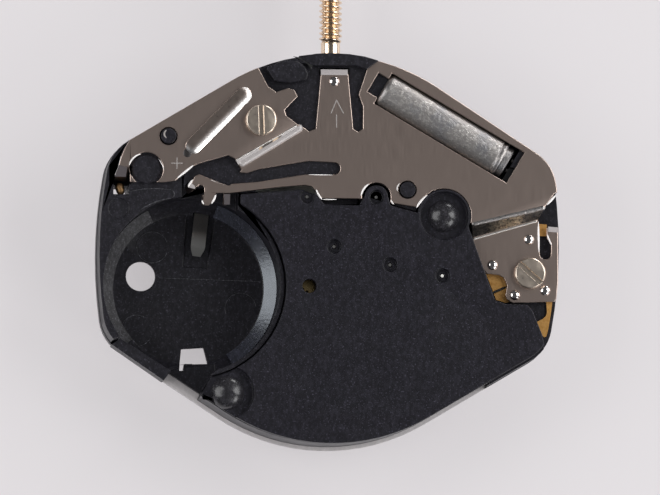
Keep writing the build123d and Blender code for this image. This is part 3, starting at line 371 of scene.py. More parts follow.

# The wing's step is a pale grey, a painted highlight. Along X it has bands of the plate's brown and of near black.
PALE, FADE_MM = (0.44, 0.415, 0.41), 0.07
STEP_MARKS = ((-2.97, (0.50, 0.38, 0.27)), (-2.86, (0.07, 0.06, 0.055)), (-2.44, (0.55, 0.42, 0.30)),
              (-2.24, (0.14, 0.12, 0.11)), (-2.10, PALE))
marked = Finish("pale_step", PALE, 0.3, 0.40)
marked.tint(marked.range(marked.noise(3, detail=4, low=0.4, high=0.7), 0, 1, 0, 0.35), (0.30, 0.28, 0.275))
for start, shade in STEP_MARKS:
    marked.tint(marked.range(marked.along("X"), start, start + FADE_MM, 0, 1), shade)
pale_step = marked.material
print("marks on the wing's step:", len(STEP_MARKS))

# %% [markdown]
# ### The can's plating
#
# The can is plated with tin, which its bath has frosted: pale flecks on a duller ground. A bluish painted shade, laid
# in slow soft patches, stands for where the light falls off. The same flecks drive the colour, the roughness and the
# height, because on the real plating they are the same crystals.

# %% Tin plating
tin = Finish("can_metal", (0.36, 0.34, 0.33), 1.0, 0.46)
flecks = tin.noise(7, detail=5, low=0.48, high=0.66, rough=0.7)
tin.tint(tin.range(flecks, 0, 1, 0, 0.8), (0.66, 0.63, 0.60))
# The bluish tint is painted shade in slow, soft patches.
shade = tin.noise(1.1, detail=3, stretch=(1, 1, 0.6), low=0.50, high=0.68)
tin.tint(tin.range(shade, 0, 1, 0, 0.6), (0.24, 0.25, 0.28))
tin.vary_roughness(flecks, 0.48, 0.28)
tin.bump(flecks, 0.010, 0.5)
can_metal = tin.material
print("nodes in the plating:", len(tin.tree.nodes))

# %% [markdown]
# ### The flexible circuit
#
# The circuit is copper on an amber film. Only two small areas of it show, at the right. Elsewhere the film is
# printed black. Two pieces could share the work, but the film is one sheet, so one finish changes colour at
# the print's two borders.

# %% Amber film
amber = Finish("amber_film", (0.46, 0.25, 0.075), 0.25, 0.34)
amber.vary_roughness(amber.noise(3, detail=3), 0.26, 0.42)
amber.tint(amber.noise(9, detail=3, low=0.45, high=0.75), (0.32, 0.15, 0.03))
amber.bump(amber.noise(10, detail=2), 0.006, 0.5)
PRINTED, PRINT_START_Y, PRINT_END_X = (0.008, 0.008, 0.009), 1.50, 5.0
amber.tint(amber.range(amber.along("Y"), PRINT_START_Y, PRINT_START_Y + 0.06, 0, 1), PRINTED)
amber.tint(amber.range(amber.along("X"), PRINT_END_X, PRINT_END_X - 0.1, 0, 1), PRINTED)
amber_film = amber.material
print("the film is black above y =", PRINT_START_Y, "and left of x =", PRINT_END_X)

# %% [markdown]
# ## Openings that are cut again
#
# The metal plate's copy gets two new openings: the window over the crystal's can, which is filled first and
# then cut narrower, and the first gap between the spring arm's fingers. The main plate's copy gets a recess for
# the end of the yoke, which would run into it when the stem is pulled. Black paint would look the same from
# straight above, but a cut also holds from the side, and an exact boolean makes it.

# %% Prisms and booleans


def prism_grid(corners, low, high):
    """A straight prism over plan corners: one row of them at each of two levels."""
    return np.array([[(x, y, level) for x, y in corners] for level in (low, high)])


def carved(mesh, fills, cuts):
    """The mesh joined with some prisms and then cut by others."""
    block = bpy.data.objects.new("block", mesh)
    bpy.context.scene.collection.objects.link(block)
    tools = []
    for kind, prisms in (("UNION", fills), ("DIFFERENCE", cuts)):
        for prism in prisms:
            tool = bpy.data.objects.new("tool", grid_mesh("prism", prism_grid(*prism)))
            bpy.context.scene.collection.objects.link(tool)
            step = block.modifiers.new(kind, "BOOLEAN")
            step.operation, step.solver, step.object = kind, "EXACT", tool
            tools.append(tool)
    shape = bpy.data.meshes.new_from_object(block.evaluated_get(bpy.context.evaluated_depsgraph_get()))
    for spare in (block, *tools):
        bpy.data.objects.remove(spare)
    return shape


# %% Openings
CAN_CENTRE = (4.352, 4.751, 2.40)
CAN_TILT = -30.7
SHEET_LEVELS = (2.60, 3.05)


def can_box(start, end, half_width):
    """Plan corners of a rectangle along the can, from start to end on its axis."""
    turn = math.radians(CAN_TILT)
    corners = ((start, -half_width), (end, -half_width), (end, half_width), (start, half_width))
    return [(CAN_CENTRE[0] + along * math.cos(turn) - across * math.sin(turn),
             CAN_CENTRE[1] + along * math.sin(turn) + across * math.cos(turn)) for along, across in corners]


WINDOW_FILL = (can_box(-3.00, 3.12, 0.905), 2.75, 2.91)
WINDOW = (can_box(-2.83, 3.19, 0.69), *SHEET_LEVELS)
WINDOW_SLOT = (can_box(-3.29, -2.70, 0.43), *SHEET_LEVELS)
FINGER_GAP = ([(-5.46, 2.00), (-5.08, 1.97), (-5.075, 2.25), (-5.14, 2.35), (-5.26, 2.37), (-5.38, 2.26)],
              *SHEET_LEVELS)
YOKE_ROOM = ([(1.52, 4.20), (2.18, 4.20), (2.18, 4.36), (1.52, 4.36)], 0.92, 1.18)
print("window's corners:", [[round(v, 2) for v in corner] for corner in WINDOW[0]])

# %% [markdown]
# ## Softened copies of the CAD pieces
#
# A real edge is never perfectly sharp. A moulded edge has the radius of the tool and a stamped one is
# rolled over, and it is the small bright line along it that tells the eye what it is made of. Each visible
# CAD piece is copied, its flat facets are joined and its edges get a small bevel. A bevel node in the material
# would only bend the light. The modifier makes real faces, which other programs can use too.

# %% Copies with soft edges
EDGE_ANGLE, FACET_ANGLE = 30, 0.4


def soften(piece, bevel_mm):
    """Rounds the sharp edges of a piece by a bevel of that width."""
    bevel = piece.modifiers.new("soft edges", "BEVEL")
    bevel.width = bevel_mm * MM
    bevel.segments = 2
    bevel.limit_method = "ANGLE"
    bevel.angle_limit = math.radians(EDGE_ANGLE)
    bevel.use_clamp_overlap = False
    bevel.harden_normals = True


def softened(node, name, material, bevel_mm, swing=None, fills=(), cuts=()):
    """
    A copy of a CAD node whose edges are rounded by a bevel of that width. A swing (place, reach, degrees)
    turns the round part that stands at a place about its own axis.
    """
    mesh = frame["nodes"][node].data.copy()
    work = bmesh.new()
    work.from_mesh(mesh)
    bmesh.ops.remove_doubles(work, verts=work.verts, dist=2e-7)
    if fills or cuts:
        work.to_mesh(mesh)
        work.free()
        mesh = carved(mesh, fills, cuts)
        work = bmesh.new()
        work.from_mesh(mesh)
    if swing:
        centre, reach_mm, degrees = Vector((*swing[0], 0)) * MM, swing[1] * MM, swing[2]
        near = [vert for vert in work.verts if (vert.co.xy - centre.xy).length < reach_mm]
        bmesh.ops.rotate(work, verts=near, cent=centre, matrix=Matrix.Rotation(math.radians(degrees), 3, "Z"))
    bmesh.ops.remove_doubles(work, verts=work.verts, dist=2e-7)
    bmesh.ops.dissolve_limit(work, angle_limit=math.radians(FACET_ANGLE), verts=work.verts, edges=work.edges)
    bmesh.ops.recalc_face_normals(work, faces=work.faces)
    clean = bpy.data.meshes.new(name)
    work.to_mesh(clean)
    work.free()
    bpy.data.meshes.remove(mesh)
    clean.shade_smooth()
    clean.set_sharp_from_angle(angle=math.radians(EDGE_ANGLE))
    piece = new_piece(name, clean, material, BODY_OF[node])
    soften(piece, bevel_mm)
    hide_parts(node)
    print(name, "faces:", len(clean.polygons))
    return piece


# %% Copies of the pieces that are seen
# The first screw's place, the reach round it and the turn of its slot in degrees.
FIRST_SCREW = ((-2.87, 4.90), 1.5, 8)
# CAD node, name of the copy, finish, bevel in mm, slot, what is changed.
COPIES = (
    ("main_plate", "base_plate", black_plastic, 0.025, "black_plastic", {"cuts": (YOKE_ROOM,)}),
    ("dial_side_guard", "dial_guard", guard_plastic, 0.020, "guard", {}),
    ("circuit_spacer", "spacer_block", spacer_plastic, 0.012, "black_plastic", {}),
    ("train_cover", "cover_over_train", cover_plastic, 0.045, "black_plastic", {}),
    ("battery_plus_plate", "circuit_plate", plate_steel, 0.034, "plate_steel",
     {"fills": (WINDOW_FILL,), "cuts": (WINDOW, WINDOW_SLOT, FINGER_GAP)}),
    ("plate_screws", "slotted_screws", gilt_steel, 0.014, "gilt_steel", {"swing": FIRST_SCREW}),
)
for node, name, material, bevel_mm, slot, changes in COPIES:
    softened(node, name, material, bevel_mm, **changes)

# %% [markdown]
# ## The winding stem
#
# The stem is one turned bar: a thin pilot, a square for the clutch, a collar with the lever's groove, a
# journal in the edge of the plate and then the thread for the crown. It is a profile swept along Y. Round
# the square the radius depends on the angle, and on the thread it depends on both angle and distance. A thread
# in the bump alone would leave the outline smooth, and it is the outline that shows a thread.

# %% Stem
STEM_Z = 1.05
PILOT_R, PILOT_END = 0.13, 4.321
SQUARE_SIDE, SQUARE_END = 0.46, 5.670
COLLAR_R, GROOVE_R = 0.35, 0.22
GROOVE_START, GROOVE_END = 5.952, 6.252
JOURNAL_R, JOURNAL_START = 0.375, 7.099
THREAD_R, THREAD_ROOT_R, THREAD_START, THREAD_PITCH = 0.45, 0.30, 8.05, 0.218
RIDGE_GAIN, TIP_CHAMFER = 1.25, 0.11
STEM_COLUMNS = 56
ROWS_TO_A_TURN = 12

stem_low, stem_high = (np.array(corner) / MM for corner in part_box("winding_stem"))
stem_start, stem_end = stem_low[1], stem_high[1]
angle = np.linspace(0, 2 * np.pi, STEM_COLUMNS, endpoint=False)


def plain_row(y, radius):
    """One round row of the stem."""
    return y, np.full(STEM_COLUMNS, radius)


def square_row(y):
    """One square row: at angle a the side is at half width over the larger of |cos a| and |sin a|."""
    return y, SQUARE_SIDE / 2 / np.maximum(abs(np.cos(angle)), abs(np.sin(angle)))


def thread_rows():
    """
    Rows of the thread. The phase of a point is the part of a turn it has gone past the helix, and the
    radius falls from the crest to the root as a V on both sides of it. A gain above 1 makes the crest flat.
    The V fades in over one turn, and the last crests shrink to a chamfer at the tip.
    """
    count = int((stem_end - THREAD_START) / THREAD_PITCH * ROWS_TO_A_TURN)
    ys = np.linspace(THREAD_START, stem_end, count)
    phase = (ys[:, None] / THREAD_PITCH - angle[None] / (2 * np.pi)) % 1.0
    ridge = np.clip(RIDGE_GAIN * (1 - abs(2 * phase - 1)), 0, 1)
    fade = np.clip((ys - THREAD_START) / THREAD_PITCH, 0, 1)[:, None]
    crest = np.minimum(THREAD_R, THREAD_R - TIP_CHAMFER + (stem_end - ys))[:, None]
    radius = (1 - fade) * JOURNAL_R + fade * (THREAD_ROOT_R + (crest - THREAD_ROOT_R) * ridge)
    return [(y, r) for y, r in zip(ys, np.minimum(radius, crest))]


PILOT_CHAMFER = 0.03
pilot = ((stem_start, PILOT_R - PILOT_CHAMFER), (stem_start + PILOT_CHAMFER, PILOT_R), (PILOT_END, PILOT_R))
collar = ((SQUARE_END, COLLAR_R), (GROOVE_START, COLLAR_R), (GROOVE_START, GROOVE_R), (GROOVE_END, GROOVE_R),
          (GROOVE_END, COLLAR_R), (JOURNAL_START, COLLAR_R))
journal = ((JOURNAL_START, JOURNAL_R), (THREAD_START - 0.02, JOURNAL_R))
stem_rows = [plain_row(*row) for row in pilot] + [square_row(PILOT_END), square_row(SQUARE_END)]
stem_rows += [plain_row(*row) for row in collar + journal] + thread_rows()
stem_grid = np.array([
    np.stack([radius * np.cos(angle), np.full(STEM_COLUMNS, y), STEM_Z + radius * np.sin(angle)], axis=-1)
    for y, radius in stem_rows
])
stem = surface("threaded_stem", stem_grid, stem_steel, body="stem", sharp_angle=50)
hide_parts("winding_stem")
print("stem rows:", len(stem_rows))

# %% [markdown]
# ## The crystal's can
#
# The can is drawn from thin sheet, so its closed end has a rounded edge. At the other end it is crimped
# round a seal that carries the two wires. It is round all over, so one profile turned about its axis makes it.
# A cylinder with bevels would need a piece more for the crimp.

# %% Turned pieces


def turned_grid(profile, origin, axis, columns):
    """
    Points of a turned piece. The profile gives (distance along the axis, radius) for each row, and the
    point at angle a of a row is origin + distance * axis + radius * (cos a * side + sin a * other side).
    """
    axis = np.array(axis, float) / np.linalg.norm(axis)
    side = np.cross(axis, (0.0, 0.0, 1.0)) if abs(axis[2]) < 0.9 else np.array((1.0, 0.0, 0.0))
    side = side / np.linalg.norm(side)
    other = np.cross(axis, side)
    angle = np.linspace(0, 2 * np.pi, columns, endpoint=False)
    ring = np.cos(angle)[:, None] * side + np.sin(angle)[:, None] * other
    profile = np.array(profile, float)
    return np.array(origin) + profile[:, :1, None] * axis + profile[:, 1:2, None] * ring[None]


# %% Crystal can
CAN_R, CAN_LENGTH, SEAL_LENGTH = 0.75, 5.30, 0.35
CAN_EDGE = 0.20
CAN_COLUMNS = 96

can_axis = (math.cos(math.radians(CAN_TILT)), math.sin(math.radians(CAN_TILT)), 0)
can_start = -(CAN_LENGTH + SEAL_LENGTH) / 2
seal_start = can_start + CAN_LENGTH
turn = np.linspace(0, np.pi / 2, 8)[::-1]
rounded = np.stack([can_start + CAN_EDGE * (1 - np.sin(turn)), CAN_R - CAN_EDGE * (1 - np.cos(turn))], axis=-1)
CRIMP = ((-0.16, 0), (-0.10, 0.05), (-0.03, 0.015), (0.05, 0.02), (0.09, 0.05), (0.10, 0.12))
SEAL = ((SEAL_LENGTH - 0.05, 0.10), (SEAL_LENGTH, 0.14))
can_profile = [(can_start, 0.2), *rounded.tolist()]
can_profile += [(seal_start + along, CAN_R - inward) for along, inward in CRIMP + SEAL]
can = surface("drawn_can", turned_grid(can_profile, CAN_CENTRE, can_axis, CAN_COLUMNS), can_metal)
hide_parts("crystal_can")
print("can's rows:", len(can_profile))

# %% [markdown]
# ## The contact in the pocket
#
# The minus contact is a leaf that comes down the pocket's wall, runs along a channel in the floor and rises
# to touch the cell. Its end is cut to a blunt point and bent down. A flat strip with bend modifiers would come
# near it, but the leaf's path is a list of corners, so a rectangle is swept along that list.

# %% Contact leaf
CONTACT_AT = (-4.866, 2.448)
CONTACT_TURN = -97.6
CONTACT_WIDTH, CONTACT_THICKNESS = 0.56, 0.08
CONTACT_FOOT, CONTACT_FOOT_Z, CONTACT_LOW_Z = -0.85, 2.11, 0.29
CONTACT_PATH = ((CONTACT_FOOT, CONTACT_FOOT_Z), (-0.03, CONTACT_FOOT_Z), (0.0, CONTACT_FOOT_Z - 0.03), (0.0, 0.36),
                (0.07, CONTACT_LOW_Z), (1.0, CONTACT_LOW_Z), (1.7, 0.53), (2.35, 0.75), (2.46, 0.72), (2.70, 0.60))
CONTACT_WIDTH_SHARES = (1, 1, 1, 1, 1, 1, 1, 1, 0.92, 0.55)


def strip_grid(path, widths, thickness, place, turn):
    """
    A sheet strip along a path of (distance out, height). Each row is a rectangle across the path: half the
    thickness to either side along the path's normal and half the width to either side across it.
    """
    path = np.array(path, float)
    ahead = np.gradient(path, axis=0)
    ahead /= np.linalg.norm(ahead, axis=1)[:, None]
    normal = np.stack([-ahead[:, 1], ahead[:, 0]], axis=-1)
    out = np.array((math.cos(math.radians(turn)), math.sin(math.radians(turn)), 0.0))
    across = np.array((-out[1], out[0], 0.0))
    rows = []
    for side, level in ((-1, -1), (1, -1), (1, 1), (-1, 1)):
        spot = path + normal * thickness / 2 * level
        point = spot[:, :1] * out + spot[:, 1:] * np.array((0.0, 0.0, 1.0))
        rows.append(point + across * (side * np.array(widths, float)[:, None] / 2))
    return np.stack(rows, axis=1) + np.array((*place, 0.0))


contact_grid = strip_grid(CONTACT_PATH, CONTACT_WIDTH * np.array(CONTACT_WIDTH_SHARES), CONTACT_THICKNESS,
                          CONTACT_AT, CONTACT_TURN)
contact = surface("contact_leaf", contact_grid, spring_steel)
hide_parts("minus_contact")
print("contact's reach in mm:", CONTACT_PATH[-1][0] - CONTACT_FOOT)

# %% [markdown]
# ## Stakes and dimples
#
# A stake is a plastic post that a hot tool has pressed to a dome, so that it holds the sheet like a rivet. A
# dimple is a small dome that a punch has raised in the sheet. Both are one curve turned about an upright axis.
# The cap of a sphere would be simpler, but it hasn't the steep foot that makes these catch the light.

# %% Domes
STAKES = ((4.298, 1.220, 0.62), (-4.152, -5.710, 0.66))
STAKE_LOW, STAKE_TOP = 2.70, 3.115
WING_TOP, SEAT_TOP, RIGHT_TOP = 3.06, 2.91, 2.46
DIMPLES = ((0.0, 6.45, SEAT_TOP), (7.66, 0.35, RIGHT_TOP), (6.23, -0.66, RIGHT_TOP), (7.10, -1.83, RIGHT_TOP),
           (8.29, -1.64, RIGHT_TOP))
DIMPLE_R, DIMPLE_RISE = 0.20, 0.10
SUNK = 0.002


def dome_grid(radius, rise, place, low, wobble=0.0, rows=14, columns=48):
    """
    A dome whose height at distance d from its axis is rise * (1 - (d / radius) squared) to the power 0.6,
    with a slow ripple round it where the wobble is not zero.
    """
    share = np.linspace(1.0, 0.02, rows)[:, None]
    around = np.linspace(0, 2 * np.pi, columns, endpoint=False)[None]
    ripple = wobble * np.sin(3 * around + 4 * share) * share * (1 - share) * 4
    height = rise * (1 - share ** 2) ** 0.6 + ripple
    flat = share * radius
    return np.stack([place[0] + flat * np.cos(around), place[1] + flat * np.sin(around), low + height], axis=-1)


for count, (x, y, radius) in enumerate(STAKES):
    grid = dome_grid(radius, STAKE_TOP - STAKE_LOW, (x, y), STAKE_LOW, wobble=0.008)
    surface(f"stake_dome_{count}", grid, stake_plastic)

for count, (x, y, top) in enumerate(DIMPLES):
    grid = dome_grid(DIMPLE_R, DIMPLE_RISE, (x, y), top - SUNK, rows=8, columns=24)
    surface(f"dimple_{count}", grid, dimple_steel)
print("stakes:", len(STAKES), "dimples:", len(DIMPLES))

# %% [markdown]
# ## The rib and the plain marks
#
# The wing is stiffened by a rib that is pressed up in it, flat on top, with a long round fall on its right. The
# marks are scribed lines. All are raised strips whose ends are a quarter circle, so one function makes them.
# Sculpting the sheet itself would disturb its flat, mirror-like face.

# %% Rib and marks
RIB_ENDS = ((-5.50, 3.89), (-3.55, 5.88))
RIB_R, RIB_RISE, RIB_SUNK = 0.32, 0.12, 0.004
RIB_SPOT, SPOT_R, SPOT_RISE = (-5.74, 3.60), 0.17, 0.03
MARK_R, MARK_RISE, MARK_SUNK = 0.020, 0.006, 0.001
MARKS = (((-6.15, 2.99), (-6.15, 3.41), WING_TOP), ((-6.36, 3.20), (-5.94, 3.20), WING_TOP),
         ((0.09, 4.66), (0.09, 5.15), SEAT_TOP), ((-0.12, 5.21), (0.09, 5.72), SEAT_TOP),
         ((0.36, 5.21), (0.09, 5.72), SEAT_TOP))


def rib_grid(start, end, radius, rise, low, rows=40, columns=17, leaning=False):
    """
    A rib between two places. Its width and height fall to nothing in a quarter circle at the ends. Its section
    is half round. A leaning one is a flat top that rounds down on the right: with u as the share of the half
    width, its height is the rise up to u = -0.2 and rise * (1 - ((u + 0.2) / 1.2) squared) from there to u = 1.
    """
    start, end = np.array(start), np.array(end)
    length = np.linalg.norm(end - start)
    ahead = (end - start) / length
    across = np.array((-ahead[1], ahead[0]))
    along = (1 - np.cos(np.linspace(0, np.pi, rows))) / 2 * (length + 2 * radius) - radius
    short = np.clip(np.maximum(-along, along - length) / radius, 0, 1)
    share = np.sqrt(np.clip(1 - short ** 2, 0.0004, 1))
    arc = np.linspace(0, np.pi, columns)
    side, up = np.cos(arc), np.sin(arc)
    if leaning:
        side = -np.concatenate([[-1, -0.9], np.linspace(-0.8, 1, columns - 2)])
        up = 1 - (np.clip(-side + 0.2, 0, None) / 1.2) ** 2
        up[0] = 0
    flat = start + along[:, None, None] * ahead + (share[:, None] * radius * side)[:, :, None] * across
    height = low + share[:, None] * rise * up
    return np.concatenate([flat, height[:, :, None]], axis=-1)


grid = rib_grid(*RIB_ENDS, RIB_R, RIB_RISE, WING_TOP - RIB_SUNK, leaning=True)
surface("wing_rib", grid, rib_steel)
grid = dome_grid(SPOT_R, SPOT_RISE, RIB_SPOT, WING_TOP - SUNK, rows=6, columns=24)
surface("rib_spot", grid, dark_steel)

for count, (start, end, top) in enumerate(MARKS):
    grid = rib_grid(start, end, MARK_R, MARK_RISE, top - MARK_SUNK, rows=12, columns=7)
    surface(f"scribed_line_{count}", grid, scribed)
print("rib's length in mm:", round(math.dist(*RIB_ENDS) + 2 * RIB_R, 2), "marks:", len(MARKS))

# %% [markdown]
# ## The mould's traces in the pocket
#
# The foot of the pocket's wall is a smooth chamfer. On the side that faces the light it shines, on the other it
# is a dull band. The floor keeps the rings of the ejector pins. Both are a small section swept round a centre:
# a Screw modifier could do it too, but here the arcs start and end where the real ones fade.

# %% Pocket
POCKET = (-5.541, -1.520)
CHAMFER = [(2.95, 0.45), (2.95, 0.70), (3.05, 0.76), (3.43, 0.99), (3.43, 0.45)]
# Name, bearings of both ends, finish.
CHAMFERS = (("right", -60, 71, pocket_gloss), ("left", 118, 222, mould_wall))
FLOOR_LINE, SHELF_LINE = 0.352, 2.502
RING_SECTION = ((-0.016, 0), (0, -0.016), (0.016, 0), (0, 0.016))
# Centre, radius, bearings of both ends, level.
RINGS = (((-6.94, 0.12), 0.61, 20, 340, FLOOR_LINE), ((-3.47, -2.27), 0.61, 10, 200, FLOOR_LINE),
         ((-7.55, -3.15), 0.61, 60, 330, FLOOR_LINE), ((-8.43, 1.40), 0.38, 5, 355, SHELF_LINE))


def arc_grid(centre, section, start, end, rows=72):
    """
    A section of (radius, height) corners swept round a centre between two bearings in degrees. Every row is
    the section at one bearing, so the ends are closed by the section itself.
    """
    bearing = np.radians(np.linspace(start, end, rows))
    section = np.array(section, float)
    ring = np.stack([np.cos(bearing), np.sin(bearing)], axis=-1)[:, None, :] * section[None, :, :1]
    height = np.broadcast_to(section[None, :, 1:], (rows, len(section), 1))
    return np.concatenate([ring + np.array(centre), height], axis=-1)


for name, start, end, material in CHAMFERS:
    grid = arc_grid(POCKET, CHAMFER, start, end)
    surface(f"pocket_chamfer_{name}", grid, material, sharp_angle=25)
for count, (centre, radius, start, end, level) in enumerate(RINGS):
    section = [(radius + outward, level + up) for outward, up in RING_SECTION]
    surface(f"mould_ring_{count}", arc_grid(centre, section, start, end), mould_line)
print("chamfers:", len(CHAMFERS), "rings:", len(RINGS))

# %% [markdown]
# ## Low pads on the mouldings
#
# The spacer's block, the knob beside it and the rim below the pocket have a rounder outline than the CAD
# pieces. A boolean could join these forms to the moulding. As low prisms that are laid over it, each with its
# own soft edge, they can be moved or left out one by one.

# %% Pads
# Name, plan corners, lower and upper level, soft edge.
# The lip pad fills the gap between the plate's edge and the cover, where the wheel below would show. It is partly the
# moulding's lower step and partly a dark piece put there as painted shade.
PADS = (
    ("lip_shade_pad", [(-0.60, 1.50), (0.95, 1.50), (0.95, 2.05), (-0.60, 2.05)], 2.35, 2.45, 0.02),
    ("rim_pad", [(-8.60, -3.78), (-8.26, -3.54), (-6.28, -4.80), (-6.56, -5.18)], 0.30, 1.60, 0.02),
    ("stem_pad", [(-1.55, 5.35), (-0.85, 4.80), (-0.42, 4.80), (-0.42, 6.95), (-1.20, 6.95)], 2.30, 2.50, 0.02),
    ("step_pad", [(-1.80, 5.45), (-0.71, 5.45), (-0.71, 4.55), (-0.98, 4.55)], 2.50, 2.66, 0.04),
    ("knob_pad", [(-2.35, 6.44), (-1.72, 6.37), (-1.08, 6.48), (-1.01, 6.72), (-1.12, 7.00), (-1.38, 7.20),
                  (-1.65, 7.28), (-2.15, 7.19), (-2.67, 6.93)], 2.60, 3.03, 0.07),
    ("block_pad", [(-1.32, 7.33), (-1.18, 7.44), (-0.70, 7.53), (-0.10, 7.56), (0.60, 7.52), (1.20, 7.43),
                   (1.75, 7.27), (1.27, 6.92), (0.88, 7.06), (-0.87, 7.06)], 2.60, 3.03, 0.05),
)
KNOB_SHADOW = ([(-0.90, 6.90), (-1.02, 7.10), (-1.30, 7.28), (-1.60, 7.42), (-1.30, 7.36), (-1.10, 7.25),
                (-0.84, 7.08)], 2.90, 3.0)
for name, corners, low, high, edge in PADS:
    soften(surface(name, prism_grid(corners, low, high), spacer_plastic), edge)
# The knob's shadow is a thin near-black prism in the gap beside the knob: painted shade.
surface("knob_shadow", prism_grid(*KNOB_SHADOW), resin)
print("pads:", len(PADS))

# %% [markdown]
# ## The bends of the plate
#
# Where the sheet steps from one level to the next, the press has stretched and polished it. Each bend is a
# slender bar sunk in the surface, and each slope between two bends is a thin patch. Bending the sheet's own
# mesh would need a fine grid over all of it for a few narrow bands.

# %% Bends
# The wing's low bend is pale grey: a painted highlight.
# Name, finish, start, end, radius.
BENDS = (
    ("upper", worn_bend, (5.36, 0.90, 2.815), (8.27, 1.60, 2.815), 0.110),
    ("lower", bend_steel, (5.46, 0.35, 2.455), (7.98, 1.08, 2.455), 0.050),
    ("wing_high", bend_steel, (-3.84, 3.34, 3.038), (-1.48, 4.71, 3.038), 0.028),
    ("wing_low", soft_step, (-3.74, 3.15, 2.855), (-1.24, 4.695, 2.855), 0.170),
)


def bar_grid(start, end, radius, columns=24, rows=60):
    """A round bar between two points whose radius falls to nothing in a quarter circle at both ends."""
    start, end = np.array(start), np.array(end)
    length = np.linalg.norm(end - start)
    along = (1 - np.cos(np.linspace(0, np.pi, rows))) / 2 * length
    short = np.clip(np.maximum(radius - along, along - (length - radius)) / radius, 0, 1)
    radii = radius * np.sqrt(np.clip(1 - short ** 2, 0.0025, 1))
    return turned_grid(np.stack([along, radii], axis=-1), start, end - start, columns)


for name, material, start, end, radius in BENDS:
    surface(f"bend_{name}", bar_grid(start, end, radius), material)
print("bends:", len(BENDS))

# %% Slopes and flat ends
SLOPE_LIFT, SLOPE_THICKNESS = 0.004, 0.006
# The pale grey slopes carry a painted highlight and the near-black ones carry painted shade.
SLOPES = (
    ("right", slope_steel, ((5.40, 0.86, 2.905), (8.24, 1.58, 2.905), (8.02, 1.16, 2.50), (5.45, 0.42, 2.50))),
    ("tongue", grey_edge, ((-0.52, 6.70, 2.913), (0.53, 6.70, 2.913), (0.53, 6.92, 2.87), (-0.52, 6.92, 2.87))),
    ("tip", grey_edge, ((-5.70, 2.28, 2.84), (-5.53, 2.55, 2.90), (-5.36, 2.38, 2.90), (-5.44, 2.22, 2.84))),
    ("finger", plate_steel, ((-5.07, 2.10, 2.905), (-4.62, 2.06, 2.905), (-4.80, 1.65, 2.895), (-5.12, 1.72, 2.895))),
    ("finger_end", plate_steel,
     ((-5.11, 1.73, 2.893), (-4.80, 1.66, 2.893), (-4.89, 1.575, 2.87), (-5.04, 1.575, 2.87))),
    ("finger_short", painted_shade_edge, ((-4.30, 2.02, 2.89), (-4.06, 2.02, 2.89), (-4.07, 1.62, 2.80), (-4.29, 1.62, 2.80))),
    ("hook", painted_shade_edge, ((-8.41, 3.12, 3.055), (-8.09, 3.03, 3.055), (-8.14, 2.66, 2.99), (-8.57, 2.67, 2.99))),
    ("tab", grey_edge, ((8.41, 0.86, 2.462), (8.79, 0.83, 2.462), (8.79, 0.63, 2.462), (8.41, 0.66, 2.462))),
    ("wing", pale_step, ((-3.86, 3.34, 3.040), (-1.53, 4.71, 3.040), (-1.40, 4.61, 2.975), (-3.75, 3.16, 2.975))),
)
CLIP_ENDS, CLIP_R = ((-8.40, 2.46, 2.40), (-8.26, 2.00, 2.40)), 0.17


def patch_grid(corners, lift, thickness):
    """
    A thin sheet over four corner points. Every row is the rectangle of its section, at lift and at lift plus
    the thickness along the corners' normal, and the rows share out the way from the near to the far side.
    """
    corners = np.array(corners)
    normal = np.cross(corners[1] - corners[0], corners[3] - corners[0])
    normal *= np.sign(normal[2]) / np.linalg.norm(normal)
    share = np.linspace(0, 1, 12)[:, None]
    left = corners[0] + (corners[1] - corners[0]) * share
    right = corners[3] + (corners[2] - corners[3]) * share
    low, high = normal * lift, normal * (lift + thickness)
    return np.stack([left + low, right + low, right + high, left + high], axis=1)


for name, material, corners in SLOPES:
    surface(f"slope_{name}", patch_grid(corners, SLOPE_LIFT, SLOPE_THICKNESS), material)
surface("contact_clip", bar_grid(*CLIP_ENDS, CLIP_R), bronze)
print("slopes:", len(SLOPES))

# %% [markdown]
# ## Lines of light
#
# A sheared edge is rough and bent over a little, and where it faces a wall of the tent it shows as a white line that
# swells in the middle. That line is painted here: a thin near-white thread lying on the edge is a painted highlight.
# A brighter bevel would light every edge alike. The thread gives the line its own place and length. The same threads
# in near black paint the shade of a fine gap, one in the scribed grey paints a glint on a pin, and in the mould's
# grey they make the seams and the shelf's edge.

# %% Threads
SEAT_EDGE, WING_EDGE, RIGHT_EDGE, SHELF = 2.895, 3.045, 2.445, 2.752
